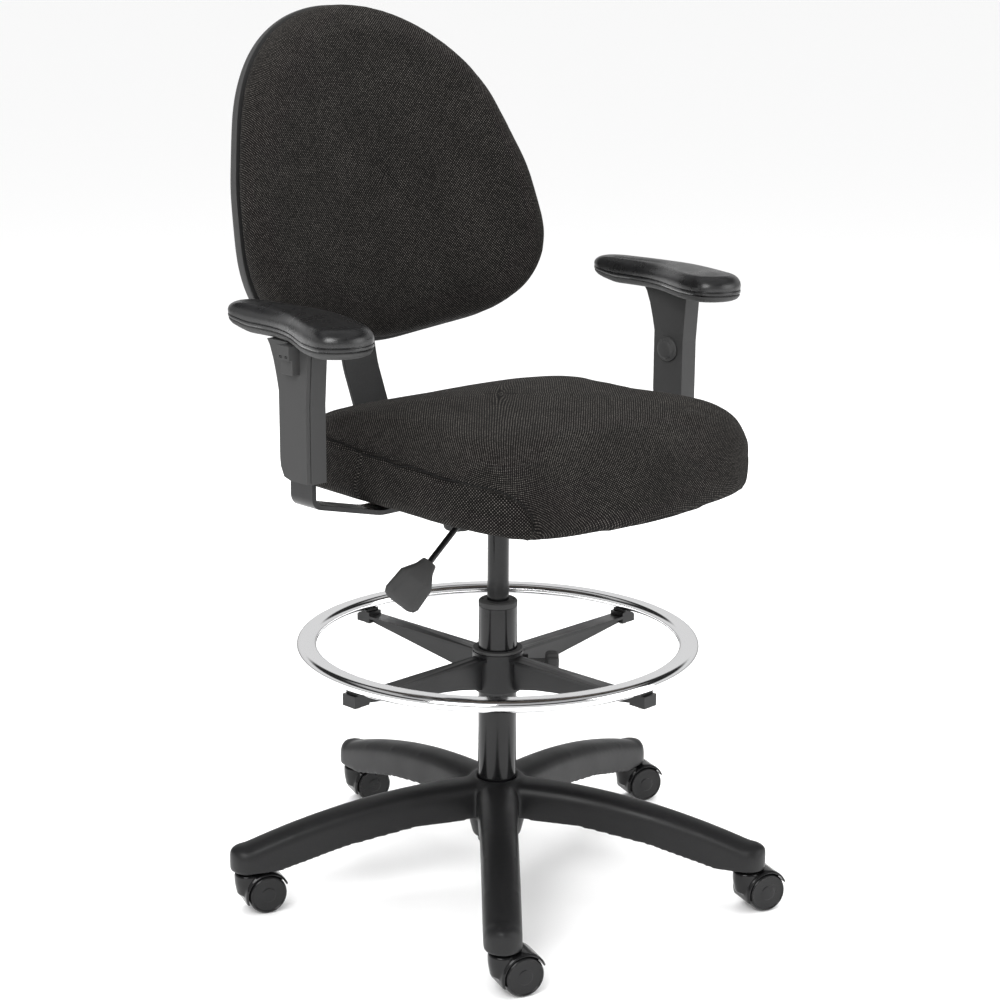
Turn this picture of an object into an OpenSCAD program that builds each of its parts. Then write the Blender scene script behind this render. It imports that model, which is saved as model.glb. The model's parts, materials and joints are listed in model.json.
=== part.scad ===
// Drafting chair: five-star base on casters, gas lift, foot ring, contoured seat and back, height arms.
// Units mm. +Z up, front of the chair is -Y, the sitter's left is +X, origin on the floor under the column.

/* [Overall] */
// radius of the circle the caster stems stand on
stem_circle_r = 333; // [280:1:360]
// turn of the base about the column, front leg first
base_turn = -132.5; // [-180:0.5:180]
// number of base legs and casters
leg_count = 5; // [5:1:5]

/* [Casters] */
// caster wheel diameter
wheel_d = 50; // [40:1:60]
// width of one wheel of the pair
wheel_w = 17.5; // [12:0.5:22]
// gap between the two wheels, filled by the web of the hood
wheel_gap = 7; // [5:0.5:10]
// distance from the stem axis back to the wheel axle
caster_trail = 20; // [15:0.5:25]
// direction the casters trail in
caster_heading = -20; // [-180:1:180]
// clearance between wheel and hood
wheel_clear = 1.2; // [0.6:0.1:2]
// caster stem diameter
stem_d = 11; // [8:0.5:12]
// caster axle diameter
axle_d = 6; // [5:0.5:8]

/* [Base] */
// width of a base leg
leg_w = 46; // [38:1:54]
// height of the underside of the leg ends
leg_end_z = 56; // [50:1:70]
// height of the leg at its end
leg_end_h = 34; // [26:1:44]
// height of the top of the hub
hub_top_z = 143; // [120:1:170]
// hub diameter
hub_d = 80; // [70:1:96]
// height of the side of a leg
leg_side_h = 45; // [38:1:60]
// rise of the top of a leg above a straight line
leg_bulge = 16; // [3:0.5:20]
// rounding of the top edges of a leg
leg_round = 14; // [6:1:18]
// wall of the hollow underside
leg_wall = 4; // [3:0.5:6]

/* [Column] */
// outer diameter of the column tube
column_d = 50; // [45:0.5:60]
// wall of the column tube
column_wall = 2; // [1.5:0.5:3]
// height of the top of the column tube
column_top_z = 374; // [320:1:420]
// height of the visible head of the guide bush
bush_head_h = 8; // [5:1:12]
// length of the guide bush inside the tube
bush_len = 72; // [50:1:90]
// gas cylinder diameter
piston_d = 28; // [25:0.5:32]
// rod diameter of the gas spring
rod_d = 10; // [8:0.5:12]
// radial running clearance
run_clear = 0.05; // [0.02:0.01:0.1]

/* [Foot ring] */
// outer diameter of the foot ring
ring_od = 518; // [420:2:560]
// width of the ring section
ring_w = 28; // [20:1:34]
// thickness of the ring section
ring_t = 15; // [10:1:20]
// height of the underside of the ring
ring_z = 317.5; // [250:0.5:360]
// number of spokes
spoke_count = 4; // [3:1:6]
// turn of the spokes
spoke_turn = 2; // [-45:1:45]
// spoke flange width
spoke_w = 22; // [18:1:32]
// height of the spider hub
spider_h = 50; // [36:1:60]
// outer diameter of the spider hub
spider_d = 66; // [60:1:76]
// wall of the plastic collet between hub and column
collet_wall = 4; // [3:0.5:6]
// direction of the clamp knob
ring_knob_turn = -40; // [-60:1:-20]
// clamp knob diameter
ring_knob_d = 26; // [20:1:34]

/* [Seat] */
// seat width
seat_w = 478; // [440:2:560]
// seat depth
seat_depth = 478; // [420:2:520]
// distance from the column to the front edge of the seat
seat_front = 284; // [240:1:320]
// height of the underside of the cushion
seat_z = 545; // [500:1:600]
// cushion thickness
seat_t = 98; // [60:1:110]
// thickness of the board under the cushion
board_t = 14; // [9:1:18]
// width of the board
board_w = 390; // [340:2:420]

/* [Mechanism] */
// width of the steel housing
box_w = 84; // [70:1:100]
// depth of the steel housing
box_len = 200; // [160:1:230]
// height of the steel housing
box_h = 50; // [44:1:60]
// sheet thickness of the housing
box_t = 3; // [2:0.5:4]
// thickness of the plate that carries the seat board
plate_t = 6; // [4:0.5:8]

/* [Lever] */
// rod diameter of the height lever
lever_d = 8; // [6:0.5:10]
// length of the moulded paddle
paddle_len = 60; // [45:1:80]
// width of the paddle at its end
paddle_w = 50; // [36:1:60]
// slope of the lever below the horizontal
lever_slope = 39; // [20:1:50]

/* [Back] */
// backrest width
back_w = 490; // [400:2:520]
// backrest height
back_h = 427; // [360:2:480]
// lean of the backrest
back_lean = 13; // [5:0.5:18]
// height of the lower edge of the backrest
back_z = 702; // [640:1:740]
// distance of the shell front behind the column at its lower edge
back_y = 225; // [200:1:260]
// radius of the contour of the back
back_curve_r = 600; // [500:5:1200]
// back cushion thickness
back_t = 56; // [40:1:80]
// back shell thickness
shell_t = 14; // [8:1:18]
// width of the flat bar that carries the back
bar_w = 58; // [40:1:64]
// thickness of the flat bar
bar_t = 6; // [5:0.5:8]
// slope of the bar where it shows behind the seat
bar_slope = 22.8; // [10:0.2:30]
// clearance of the bar in its guides
bar_clear = 0.5; // [0.3:0.1:1]

/* [Arms] */
// distance of each arm from the middle
arm_x = 320; // [290:1:350]
// thickness of the arm sleeve
sleeve_x = 28; // [22:1:34]
// depth of the arm sleeve
sleeve_y = 51; // [46:1:74]
// distance of the middle of the sleeve behind the column
arm_y = -8; // [-12:1:0]
// height of the lower end of the sleeve
sleeve_z = 590; // [560:1:620]
// height of the top of the sleeve
sleeve_top_z = 752; // [720:1:790]
// width of the flat steel arm bar
arm_bar_w = 40; // [32:1:44]
// thickness of the flat steel arm bar
arm_bar_t = 6; // [5:0.5:8]
// length of the arm pad
pad_len = 272; // [240:1:310]
// width of the front of the pad
pad_front_w = 84; // [70:1:100]
// width of the rear of the pad
pad_rear_w = 48; // [40:1:70]
// thickness of the soft pad
pad_t = 27; // [20:1:34]
// sideways sweep of the front of the pad
pad_bend = 38; // [0:1:60]
// how far the pad sits inwards and forwards of its pivot
pad_shift = 10; // [0:1:20]
// turn of the pads on their pivots, seen from above
pad_turn = 0; // [-30:1:30]

/* [Hidden] */
$fn = 64;
black = [0.07, 0.07, 0.075];
steel = [0.12, 0.12, 0.125];
bright = [0.8, 0.8, 0.82];
cloth = [0.17, 0.165, 0.16];
eps = 0.01;
contact_gap = 0.2;

wheel_r = wheel_d / 2;
pair_w = 2 * wheel_w + wheel_gap;
hood_t = 3;
hood_r = wheel_r + wheel_clear + hood_t;
web_w = wheel_gap - 2;
hood_boss_d = 36;
hood_top_z = leg_end_z - 3;
stem_flange_d = stem_d + 10;
stem_up = leg_end_h - 8;
spigot_d = stem_d - 3;
pocket_r = wheel_r + wheel_clear;
spigot_z = wheel_r + sqrt(pow(pocket_r, 2) - pow(caster_trail - spigot_d / 2, 2)) + 1.5;
hub_bottom_z = leg_end_z + 6;

column_r = column_d / 2;
column_bottom_z = leg_end_z - 2;
tube_in_r = column_r - column_wall;
floor_t = 4;
bearing_t = 5;
shoulder_z = column_bottom_z + floor_t + bearing_t;
lift_drop = 80;
lift_rise = 150;
rod_collar_t = 4;
cyl_bottom_z = shoulder_z + rod_collar_t + lift_drop + 1;
cyl_cap_t = 10;
cyl_in_r = piston_d / 2 - 2.5;
piston_head_z = cyl_bottom_z + cyl_cap_t + lift_rise + 3;
piston_head_t = 10;

board_z = seat_z - 4;
board_len = seat_depth * 0.8;
plate_z = board_z - plate_t - contact_gap;
box_z = plate_z - box_h;
cyl_top_z = box_z + box_h - 21;
valve_top_z = cyl_top_z + 7;
valve_d = 5;
socket_r = piston_d / 2 + 5;
cyl_bore_top_z = cyl_top_z - 30;

spider_z = ring_z - 53.5;
spoke_top_z = ring_z - 8;
ring_mid_r = (ring_od - ring_w) / 2;
collet_r = column_r + run_clear + collet_wall;
saddle_t = 3;
end_block_w = 24;
end_block_h = 10;
ring_screw_d = 6;
knob_z = spider_z + spider_h / 2 + 8;
knob_screw_d = 8;

bar_x_z = box_z + 23;
bar_rear_y = 249;
bar_rear_z = 603;
arm_bolt_x = [110, 170];
plate_bolt_y = [-80, 92];
plate_bolt_x = 62;
bolt_d = 8;
bolt_head_d = 15;
bolt_head_h = 5.5;
seat_bolt_up = 11;

bar_d = shell_t + 40;
bracket_w0 = 34;
bracket_w1 = 190;
knob_w = 115;

pad_plate_z = sleeve_top_z + contact_gap + 0.1;
pad_plate_t = 8;
pad_z = pad_plate_z + pad_plate_t + 0.3;
pivot_d = 12;
seam_x = 22;
button_y = 20;
button_z = 34;
button_mid_y = arm_y - 3.5;
button_mid_z = sleeve_top_z - 18;
button_gap = 0.6;
button_in = 3;
button_out = 10;
button_step = 5;
cap_hole_d = 12;
cap_drop = 81;
paddle_roll = -49;
paddle_grip = 12;
lever_pivot = [-24, 0, valve_top_z + 0.3 + lever_d / 2];
lever_knee = [-34, 0, lever_pivot[2] - 5];
lever_reach = 127;
lever_pin_d = 5;
lever_side_gap = 1;
lug_t = 4;

// ---------- helpers ----------

// a round bar from one point to another
module bar_between(a, b, d) {
  v = b - a;
  len = norm(v);
  translate(a)
    rotate([0, acos(v[2] / len), atan2(v[1], v[0])])
      cylinder(d = d, h = len);
}

// a hollow cylinder standing on z0
module pipe(ro, ri, z0, z1) {
  translate([0, 0, z0])
    difference() {
      cylinder(r = ro, h = z1 - z0);
      translate([0, 0, -1])
        cylinder(r = ri, h = z1 - z0 + 2);
    }
}

// a flat shape drawn in depth and height, given a width across the chair
module across(w) {
  rotate([90, 0, 90])
    linear_extrude(height = w, center = true)
      children();
}

// a rectangle with rounded corners
module soft_rect(x, y, r) {
  hull()
    for (sx = [-1, 1], sy = [-1, 1])
      translate([sx * (x / 2 - r), sy * (y / 2 - r)])
        circle(r = r);
}

// points of an arc, for the bends of the flat bars
function arc(c, r, a0, a1, n) =
  [for (i = [0 : n]) c + r * [cos(a0 + (a1 - a0) * i / n), sin(a0 + (a1 - a0) * i / n)]];

// a hand knob with flutes round its rim, standing on z = 0
module fluted_knob(d, h, flutes) {
  difference() {
    union() {
      cylinder(d = d, h = h - 2);
      translate([0, 0, h - 2])
        cylinder(d1 = d, d2 = d - 4, h = 2);
    }
    for (i = [0 : flutes - 1])
      rotate([0, 0, i * 360 / flutes])
        translate([d / 2 + d * 0.06, 0, -1])
          cylinder(d = d * 0.22, h = h + 2, $fn = 24);
  }
}

// ---------- base ----------

// height of the top of a leg above the floor at a given reach: straight fall plus a slight bulge
function leg_top(r) = hub_top_z - 3 - (hub_top_z - 3 - leg_end_z - leg_end_h) * r / stem_circle_r
  + 4 * leg_bulge * (r / stem_circle_r) * (1 - r / stem_circle_r);

// one thin slice of leg facing along it: straight sides, rounded top edges
module leg_slice(r, low) {
  e = leg_round;
  h = leg_w / 2;
  top = leg_top(r);
  translate([r, 0, 0])
    rotate([90, 0, 90])
      linear_extrude(height = 0.5)
        polygon(concat(
          [[-h, low]],
          [[h, low]],
          arc([h - e, top - e], e, 0, 90, 4),
          arc([-h + e, top - e], e, 90, 180, 4)
        ));
}

// convex body of one leg, from inside the hub to the round end over the stem
module leg() {
  end_top = leg_end_z + leg_end_h;
  hull() {
    leg_slice(32, hub_top_z - leg_side_h * 1.2);
    leg_slice(stem_circle_r * 0.3, leg_end_z);
    leg_slice(stem_circle_r * 0.6, leg_end_z);
    translate([stem_circle_r, 0, leg_end_z])
      cylinder(d = leg_w, h = leg_end_h - leg_round * 0.7, $fn = 32);
    translate([stem_circle_r, 0, leg_end_z])
      cylinder(d = leg_w - leg_round * 0.8, h = leg_end_h - leg_round * 0.2, $fn = 32);
    translate([stem_circle_r, 0, leg_end_z])
      cylinder(d = leg_w - leg_round * 1.6, h = leg_end_h, $fn = 32);
  }
}

// side view of what is cut away below a leg
module under_arch() {
  rim = stem_circle_r - leg_w * 0.75;
  start = hub_d / 2 - 6;
  rotate([90, 0, 0])
    linear_extrude(height = leg_w + 20, center = true)
      polygon([
        [start, leg_end_z - 20],
        [start, leg_top(start) - leg_side_h],
        [rim * 0.4, leg_top(rim * 0.4) - leg_side_h],
        [rim * 0.7, leg_top(rim * 0.7) - leg_side_h],
        [rim, leg_end_z + 3],
        [rim + 4, leg_end_z - 20]
      ]);
}

// underside hollows of a leg, with cross ribs left between them
module leg_hollows() {
  reach = stem_circle_r - stem_d - 10;
  start = hub_d / 2 + 5;
  bays = 4;
  pitch = (reach - start) / bays;
  deep = leg_wall + leg_round * 0.4;
  for (i = [0 : bays - 1]) {
    r0 = start + i * pitch;
    r1 = r0 + pitch - leg_wall;
    rotate([90, 0, 0])
      linear_extrude(height = leg_w - 2 * leg_wall, center = true)
        polygon([[r0, 0], [r0, leg_top(r0) - deep], [r1, leg_top(r1) - deep], [r1, 0]]);
  }
}

module base_star() {
  color(black)
    difference() {
      union() {
        for (i = [0 : leg_count - 1])
          rotate([0, 0, base_turn + i * 360 / leg_count])
            difference() {
              leg();
              under_arch();
              leg_hollows();
              translate([stem_circle_r, 0, leg_end_z - 1])
                cylinder(r = stem_d / 2 + run_clear, h = stem_up + 1.5);
            }
        translate([0, 0, hub_bottom_z])
          cylinder(d = column_d + 8, h = leg_side_h);
        translate([0, 0, hub_top_z - leg_side_h])
          cylinder(d = hub_d, h = leg_side_h - 10);
        translate([0, 0, hub_top_z - 10 - eps])
          cylinder(d1 = hub_d, d2 = hub_d - 14, h = 10);
      }
      cylinder(r = column_r, h = hub_top_z + 10);
    }
}

module column_tube() {
  color(black) {
    pipe(column_r, tube_in_r, column_bottom_z, column_top_z);
    pipe(tube_in_r + eps, rod_d / 2 + run_clear, column_bottom_z, column_bottom_z + floor_t);
  }
}

module column_bush() {
  color(black)
    difference() {
      union() {
        translate([0, 0, column_top_z - bush_len])
          cylinder(r = tube_in_r, h = bush_len + eps);
        translate([0, 0, column_top_z])
          cylinder(r = column_r, h = bush_head_h - 2);
        translate([0, 0, column_top_z + bush_head_h - 2])
          cylinder(r1 = column_r, r2 = column_r - 2, h = 2);
      }
      translate([0, 0, column_top_z - bush_len - 1])
        cylinder(r = piston_d / 2 + run_clear, h = bush_len + bush_head_h + 2);
      for (i = [0 : 3])
        rotate([0, 0, 45 + i * 90])
          translate([column_r - 5.5, 0, column_top_z + 3])
            cylinder(d = 3.2, h = bush_head_h, $fn = 24);
    }
}

module thrust_bearing() {
  color(bright)
    pipe(rod_d / 2 + 8, rod_d / 2 + run_clear,
         column_bottom_z + floor_t, column_bottom_z + floor_t + bearing_t);
}

// ---------- casters ----------

module place_caster(i) {
  rotate([0, 0, base_turn + i * 360 / leg_count])
    translate([stem_circle_r, 0, 0])
      rotate([0, 0, caster_heading - base_turn - i * 360 / leg_count])
        children();
}

// a cylinder lying across the caster, centred on its middle plane
module wheel_bar(r, w) {
  translate([caster_trail, 0, wheel_r])
    rotate([90, 0, 0])
      cylinder(r = r, h = w, center = true);
}

module caster_hood(i) {
  color(black)
    place_caster(i)
      difference() {
        union() {
          difference() {
            union() {
              wheel_bar(hood_r, pair_w + 1);
              translate([0, 0, wheel_r])
                cylinder(d = hood_boss_d, h = hood_top_z - wheel_r);
            }
            for (s = [-1, 1])
              translate([caster_trail, s * (web_w / 2 + pair_w / 2), wheel_r])
                rotate([90, 0, 0])
                  cylinder(r = pocket_r, h = pair_w, center = true);
            translate([caster_trail, 0, wheel_r])
              rotate([0, -22, 0])
                translate([0, 0, -hood_r * 2])
                  cube([hood_r * 4, pair_w * 2, hood_r * 4], center = true);
          }
          wheel_bar(axle_d + 3, web_w);
          translate([caster_trail - 2, 0, wheel_r + 10])
            cube([axle_d * 2, web_w, 20], center = true);
        }
        wheel_bar(axle_d / 2, pair_w + 4);
        translate([0, 0, spigot_z])
          cylinder(d = spigot_d, h = 60);
      }
}

module caster_stem(i) {
  color(bright)
    place_caster(i) {
      translate([0, 0, spigot_z])
        cylinder(d = spigot_d, h = hood_top_z - spigot_z + eps);
      translate([0, 0, hood_top_z])
        cylinder(d = stem_flange_d, h = leg_end_z - hood_top_z - 0.3);
      translate([0, 0, leg_end_z - 0.4])
        cylinder(d = stem_d, h = stem_up - 1.5);
      translate([0, 0, leg_end_z + stem_up - 2 - eps])
        cylinder(d1 = stem_d, d2 = stem_d - 3, h = 1.8);
    }
}

module caster_axle(i) {
  color(bright)
    place_caster(i)
      wheel_bar(axle_d / 2, pair_w - 6.6);
}

// one wheel: tread, stepped face and hub recess, turned round its own axis
module wheel_solid() {
  w = wheel_w;
  rotate_extrude($fn = 96)
    polygon([
      [axle_d / 2 + run_clear, 0],
      [wheel_r - 1.5, 0],
      [wheel_r, 1.5],
      [wheel_r, w - 2.5],
      [wheel_r - 1.2, w - 0.8],
      [wheel_r - 3.2, w],
      [wheel_r - 4.6, w - 1.2],
      [9, w - 1.2],
      [8, w - 0.4],
      [3, w - 0.2],
      [0, w - 0.2],
      [0, w - 3],
      [axle_d / 2 + run_clear, w - 3]
    ]);
}

module caster_wheels(i) {
  color(black)
    place_caster(i)
      for (s = [-1, 1])
        translate([caster_trail, s * wheel_gap / 2, wheel_r])
          rotate([-s * 90, 0, 0])
            wheel_solid();
}

// ---------- gas lift ----------

module piston_rod() {
  color(bright) {
    translate([0, 0, column_bottom_z - 3])
      cylinder(d = rod_d, h = piston_head_z - column_bottom_z + 3 + eps);
    translate([0, 0, shoulder_z])
      cylinder(d = rod_d + 8, h = rod_collar_t);
    translate([0, 0, piston_head_z])
      cylinder(r = cyl_in_r - run_clear, h = piston_head_t);
  }
}

module gas_cylinder() {
  color(black)
    difference() {
      translate([0, 0, cyl_bottom_z])
        cylinder(d = piston_d, h = cyl_top_z - cyl_bottom_z);
      translate([0, 0, cyl_bottom_z - 1])
        cylinder(r = rod_d / 2 + run_clear, h = cyl_cap_t + 2);
      translate([0, 0, cyl_bottom_z + cyl_cap_t])
        cylinder(r = cyl_in_r, h = cyl_bore_top_z - cyl_bottom_z - cyl_cap_t);
      translate([0, 0, cyl_bore_top_z + 8])
        cylinder(r = valve_d / 2 + run_clear, h = 60);
    }
}

module valve_pin() {
  color(bright)
    translate([0, 0, cyl_bore_top_z + 14])
      cylinder(d = valve_d, h = valve_top_z - cyl_bore_top_z - 14);
}

// ---------- mechanism ----------

module mechanism_housing() {
  w = box_w;
  in_w = w - 2 * box_t;
  y0 = -box_len / 2 + 5;
  color(steel)
    difference() {
      union() {
        translate([-box_w * 0.95, y0 - 5, plate_z])
          cube([box_w * 1.9, box_len + 10, plate_t]);
        difference() {
          translate([-w / 2, y0, box_z])
            cube([w, box_len, box_h + eps]);
          translate([-in_w / 2, y0 + box_t, box_z + box_t])
            cube([in_w, box_len - 2 * box_t, box_h]);
        }
        translate([0, 0, box_z + eps])
          cylinder(r = socket_r, h = cyl_top_z - box_z - 2);
        // lugs that hold the pin of the lever
        for (s = [-1, 1])
          translate([lever_pivot[0], s * (lever_d / 2 + lever_side_gap + lug_t / 2), lever_pivot[2]])
            rotate([90, 0, 0])
              linear_extrude(height = lug_t, center = true)
                union() {
                  circle(r = lever_pin_d / 2 + 3);
                  translate([-lever_pin_d / 2 - 3, 0])
                    square([lever_pin_d + 6, plate_z - lever_pivot[2] + eps]);
                }
      }
      translate(lever_pivot)
        rotate([90, 0, 0])
          cylinder(r = lever_pin_d / 2 + run_clear, h = box_w, center = true);
      translate([0, 0, box_z - 1])
        cylinder(d = piston_d, h = cyl_top_z - box_z);
      // slot for the back bar
      translate([-(bar_w / 2 + bar_clear), 30, bar_x_z - bar_t / 2 - bar_clear])
        cube([bar_w + 2 * bar_clear, box_len, bar_t + 2 * bar_clear]);
      // window for the lever
      translate([-w / 2 - 1, -lever_d, box_z + 6])
        cube([box_t + 2, lever_d * 2, box_h - 10]);
      // screw of the depth knob
      translate([0, 76, box_z - 1])
        cylinder(r = bolt_d / 2 + run_clear, h = box_t + 2);
      for (x = [-plate_bolt_x, plate_bolt_x], y = plate_bolt_y)
        translate([x, y, plate_z - 1])
          cylinder(d = bolt_d, h = plate_t + 2);
    }
}

module place_bolts() {
  for (x = [-plate_bolt_x, plate_bolt_x], y = plate_bolt_y)
    translate([x, y, plate_z])
      children();
  for (s = [-1, 1], x = arm_bolt_x)
    translate([s * x, 0, plate_z])
      children();
}

module seat_board() {
  color(black)
    difference() {
      translate([0, -seat_front + seat_depth / 2, board_z])
        linear_extrude(height = board_t)
          soft_rect(board_w, board_len, 60);
      place_bolts()
        translate([0, 0, plate_t])
          cylinder(d = bolt_d, h = seat_bolt_up + 0.5);
    }
}

module seat_bolts() {
  color(bright)
    place_bolts() {
      cylinder(d = bolt_d, h = plate_t + seat_bolt_up);
      translate([0, 0, -bolt_head_h])
        difference() {
          cylinder(d = bolt_head_d, h = bolt_head_h);
          translate([0, 0, -1])
            cylinder(d = 7, h = 4, $fn = 6);
        }
    }
}

// ---------- seat ----------

// outline of the seat, inset all round
module seat_outline(inset) {
  w = seat_w - 2 * inset;
  d = seat_depth - 2 * inset;
  front_r = 100;
  rear_r = 80;
  bow_r = 300;
  hull() {
    for (s = [-1, 1]) {
      translate([s * (w / 2 - front_r), -d / 2 + front_r + 14])
        circle(r = front_r, $fn = 48);
      translate([s * (w / 2 - rear_r - 10), d / 2 - rear_r])
        circle(r = rear_r, $fn = 48);
    }
    intersection() {
      translate([0, -d / 2 + bow_r])
        circle(r = bow_r, $fn = 128);
      square([w - 2 * front_r, d], center = true);
    }
  }
}

// one level of the cushion, tipped so that its rear is lower by the angle given
module seat_layer(inset, z, dip) {
  translate([0, -seat_front + seat_depth / 2, z])
    rotate([-dip, 0, 0])
      linear_extrude(height = 1)
        seat_outline(inset);
}

module seat_cushion() {
  color(cloth)
    difference() {
      hull() {
        seat_layer(12, seat_z, 0);
        seat_layer(2, seat_z + seat_t * 0.2, 0);
        seat_layer(0, seat_z + seat_t * 0.5, -1);
        seat_layer(9, seat_z + seat_t * 0.76, -1.6);
        seat_layer(30, seat_z + seat_t - 8, -1.6);
      }
      translate([0, -seat_front + seat_depth / 2, 0])
        linear_extrude(height = board_z + board_t + 0.3)
          soft_rect(board_w + 0.6, board_len + 0.6, 60.3);
    }
}

// ---------- lever ----------

function lever_point(t) = lever_knee + t * [-cos(lever_slope), 0, -sin(lever_slope)];

module lever_rod() {
  tip = [6, 0, lever_pivot[2]];
  color(steel) {
    translate(lever_pivot)
      rotate([90, 0, 0])
        cylinder(d = lever_pin_d, h = lever_d + 2 * (lever_side_gap + lug_t), center = true);
    bar_between(tip, lever_pivot, lever_d);
    translate(lever_pivot)
      sphere(d = lever_d);
    bar_between(lever_pivot, lever_knee, lever_d);
    translate(lever_knee)
      sphere(d = lever_d);
    bar_between(lever_knee, lever_point(lever_reach), lever_d);
  }
}

module lever_paddle() {
  start = lever_reach - paddle_grip;
  color(black)
    difference() {
      translate(lever_point(start))
        rotate([0, -90 - lever_slope, 0])
          rotate([0, 0, paddle_roll])
            hull() {
              translate([0, 0, -6])
                linear_extrude(height = 1)
                  soft_rect(18, 26, 6);
              translate([0, 0, paddle_len * 0.3])
                linear_extrude(height = 1)
                  soft_rect(20, paddle_w * 0.96, 7);
              translate([0, 0, paddle_len * 0.86])
                linear_extrude(height = 1)
                  soft_rect(13, paddle_w, 5);
              translate([0, 0, paddle_len - 1])
                linear_extrude(height = 1)
                  soft_rect(8, paddle_w - 8, 3);
            }
      bar_between(lever_point(0), lever_point(lever_reach), lever_d);
    }
}

// ---------- back ----------

// centre line of the back bar in depth and height, as one flat closed outline
module bar_profile() {
  r1 = 45;
  r2 = 110;
  a1 = 90 - bar_slope;
  a2 = 90 - back_lean;
  h = bar_t / 2;
  z0 = bar_x_z;
  // corner where the level run meets the slanted run
  c1 = [bar_rear_y - (bar_rear_z - z0) * tan(bar_slope), z0];
  // corner where the slanted run meets the run behind the back
  top = [back_y + bar_d * cos(back_lean), back_z - bar_d * sin(back_lean)];
  u = [cos(a1), sin(a1)];
  v = [cos(a2), sin(a2)];
  k = ((top[0] - c1[0]) * v[1] - (top[1] - c1[1]) * v[0]) / (u[0] * v[1] - u[1] * v[0]);
  c2 = c1 + k * u;
  o1 = c1 + [-r1 * tan(a1 / 2), r1];
  o2 = c2 - u * r2 * tan((a2 - a1) / 2) + r2 * [-u[1], u[0]];
  end = top + v * (bracket_w1 + 78);
  n = [-v[1], v[0]];
  polygon(concat(
    [[40, z0 - h]],
    arc(o1, r1 + h, -90, -90 + a1, 10),
    arc(o2, r2 + h, -90 + a1, -90 + a2, 5),
    [end - n * h, end + n * h],
    arc(o2, r2 - h, -90 + a2, -90 + a1, 5),
    arc(o1, r1 - h, -90 + a1, -90, 10),
    [[40, z0 + h]]
  ));
}

module back_bar() {
  color(steel)
    across(bar_w)
      bar_profile();
}

module depth_knob() {
  color(black)
    translate([0, 76, 0]) {
      translate([0, 0, box_z - 26])
        cylinder(d = bolt_d, h = 26 + bar_x_z - bar_t / 2 - box_z - 0.3);
      translate([0, 0, box_z - 2])
        mirror([0, 0, 1])
          fluted_knob(40, 24, 7);
    }
}

module in_back() {
  translate([0, back_y, back_z])
    rotate([-back_lean, 0, 0])
      children();
}

// outline of the back in width and height, inset all round
module back_outline(inset) {
  top_r = back_w * 0.45;
  low_r = back_w * 0.22;
  hull() {
    translate([0, back_h - top_r])
      circle(r = top_r - inset, $fn = 96);
    for (s = [-1, 1]) {
      translate([s * (back_w / 2 - low_r), low_r])
        circle(r = low_r - inset, $fn = 64);
      // fullness of the sides
      translate([s * back_w * 0.175, back_h * 0.377])
        circle(r = back_w * 0.311 - inset, $fn = 96);
    }
  }
}

// a slab of the contoured back between two depths behind its front face
module back_slab(inset, d0, d1) {
  intersection() {
    rotate([90, 0, 0])
      linear_extrude(height = back_w, center = true)
        back_outline(inset);
    translate([0, -back_curve_r, -back_h])
      difference() {
        cylinder(r = back_curve_r + d1, h = back_h * 3, $fn = 256);
        translate([0, 0, -1])
          cylinder(r = back_curve_r + d0, h = back_h * 3 + 2, $fn = 256);
      }
    translate([-back_w, -back_w / 2, -back_h])
      cube([back_w * 2, back_w, back_h * 3]);
  }
}

module back_shell() {
  color(black)
    in_back()
      difference() {
        back_slab(0, 0, shell_t);
        back_slab(16, shell_t * 0.45, shell_t * 0.45 + 0.8);
      }
}

module back_cushion() {
  color(cloth)
    in_back()
      back_slab(1, -back_t, -0.5);
}

module back_bracket() {
  half = bar_w / 2 + bar_clear;
  wall = 8;
  color(black)
    in_back()
      difference() {
        translate([-half - wall, 0, bracket_w0])
          cube([2 * (half + wall), bar_d + bar_t / 2 + bar_clear + wall, bracket_w1 - bracket_w0]);
        translate([0, -back_curve_r, 0])
          cylinder(r = back_curve_r + shell_t + 0.1, h = back_h, $fn = 256);
        translate([-half, bar_d - bar_t / 2 - bar_clear, bracket_w0 - 1])
          cube([2 * half, bar_t + 2 * bar_clear, bracket_w1]);
        translate([0, bar_d, knob_w])
          rotate([-90, 0, 0])
            cylinder(r = bolt_d / 2 + run_clear, h = 60);
      }
}

module height_knob() {
  wall_out = bar_d + bar_t / 2 + bar_clear + 8;
  color(black)
    in_back()
      translate([0, 0, knob_w])
        rotate([-90, 0, 0]) {
          translate([0, 0, bar_d + bar_t / 2 + 0.3])
            cylinder(d = bolt_d, h = 24);
          translate([0, 0, wall_out + 2])
            fluted_knob(46, 22, 7);
        }
}

// ---------- arms ----------

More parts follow.
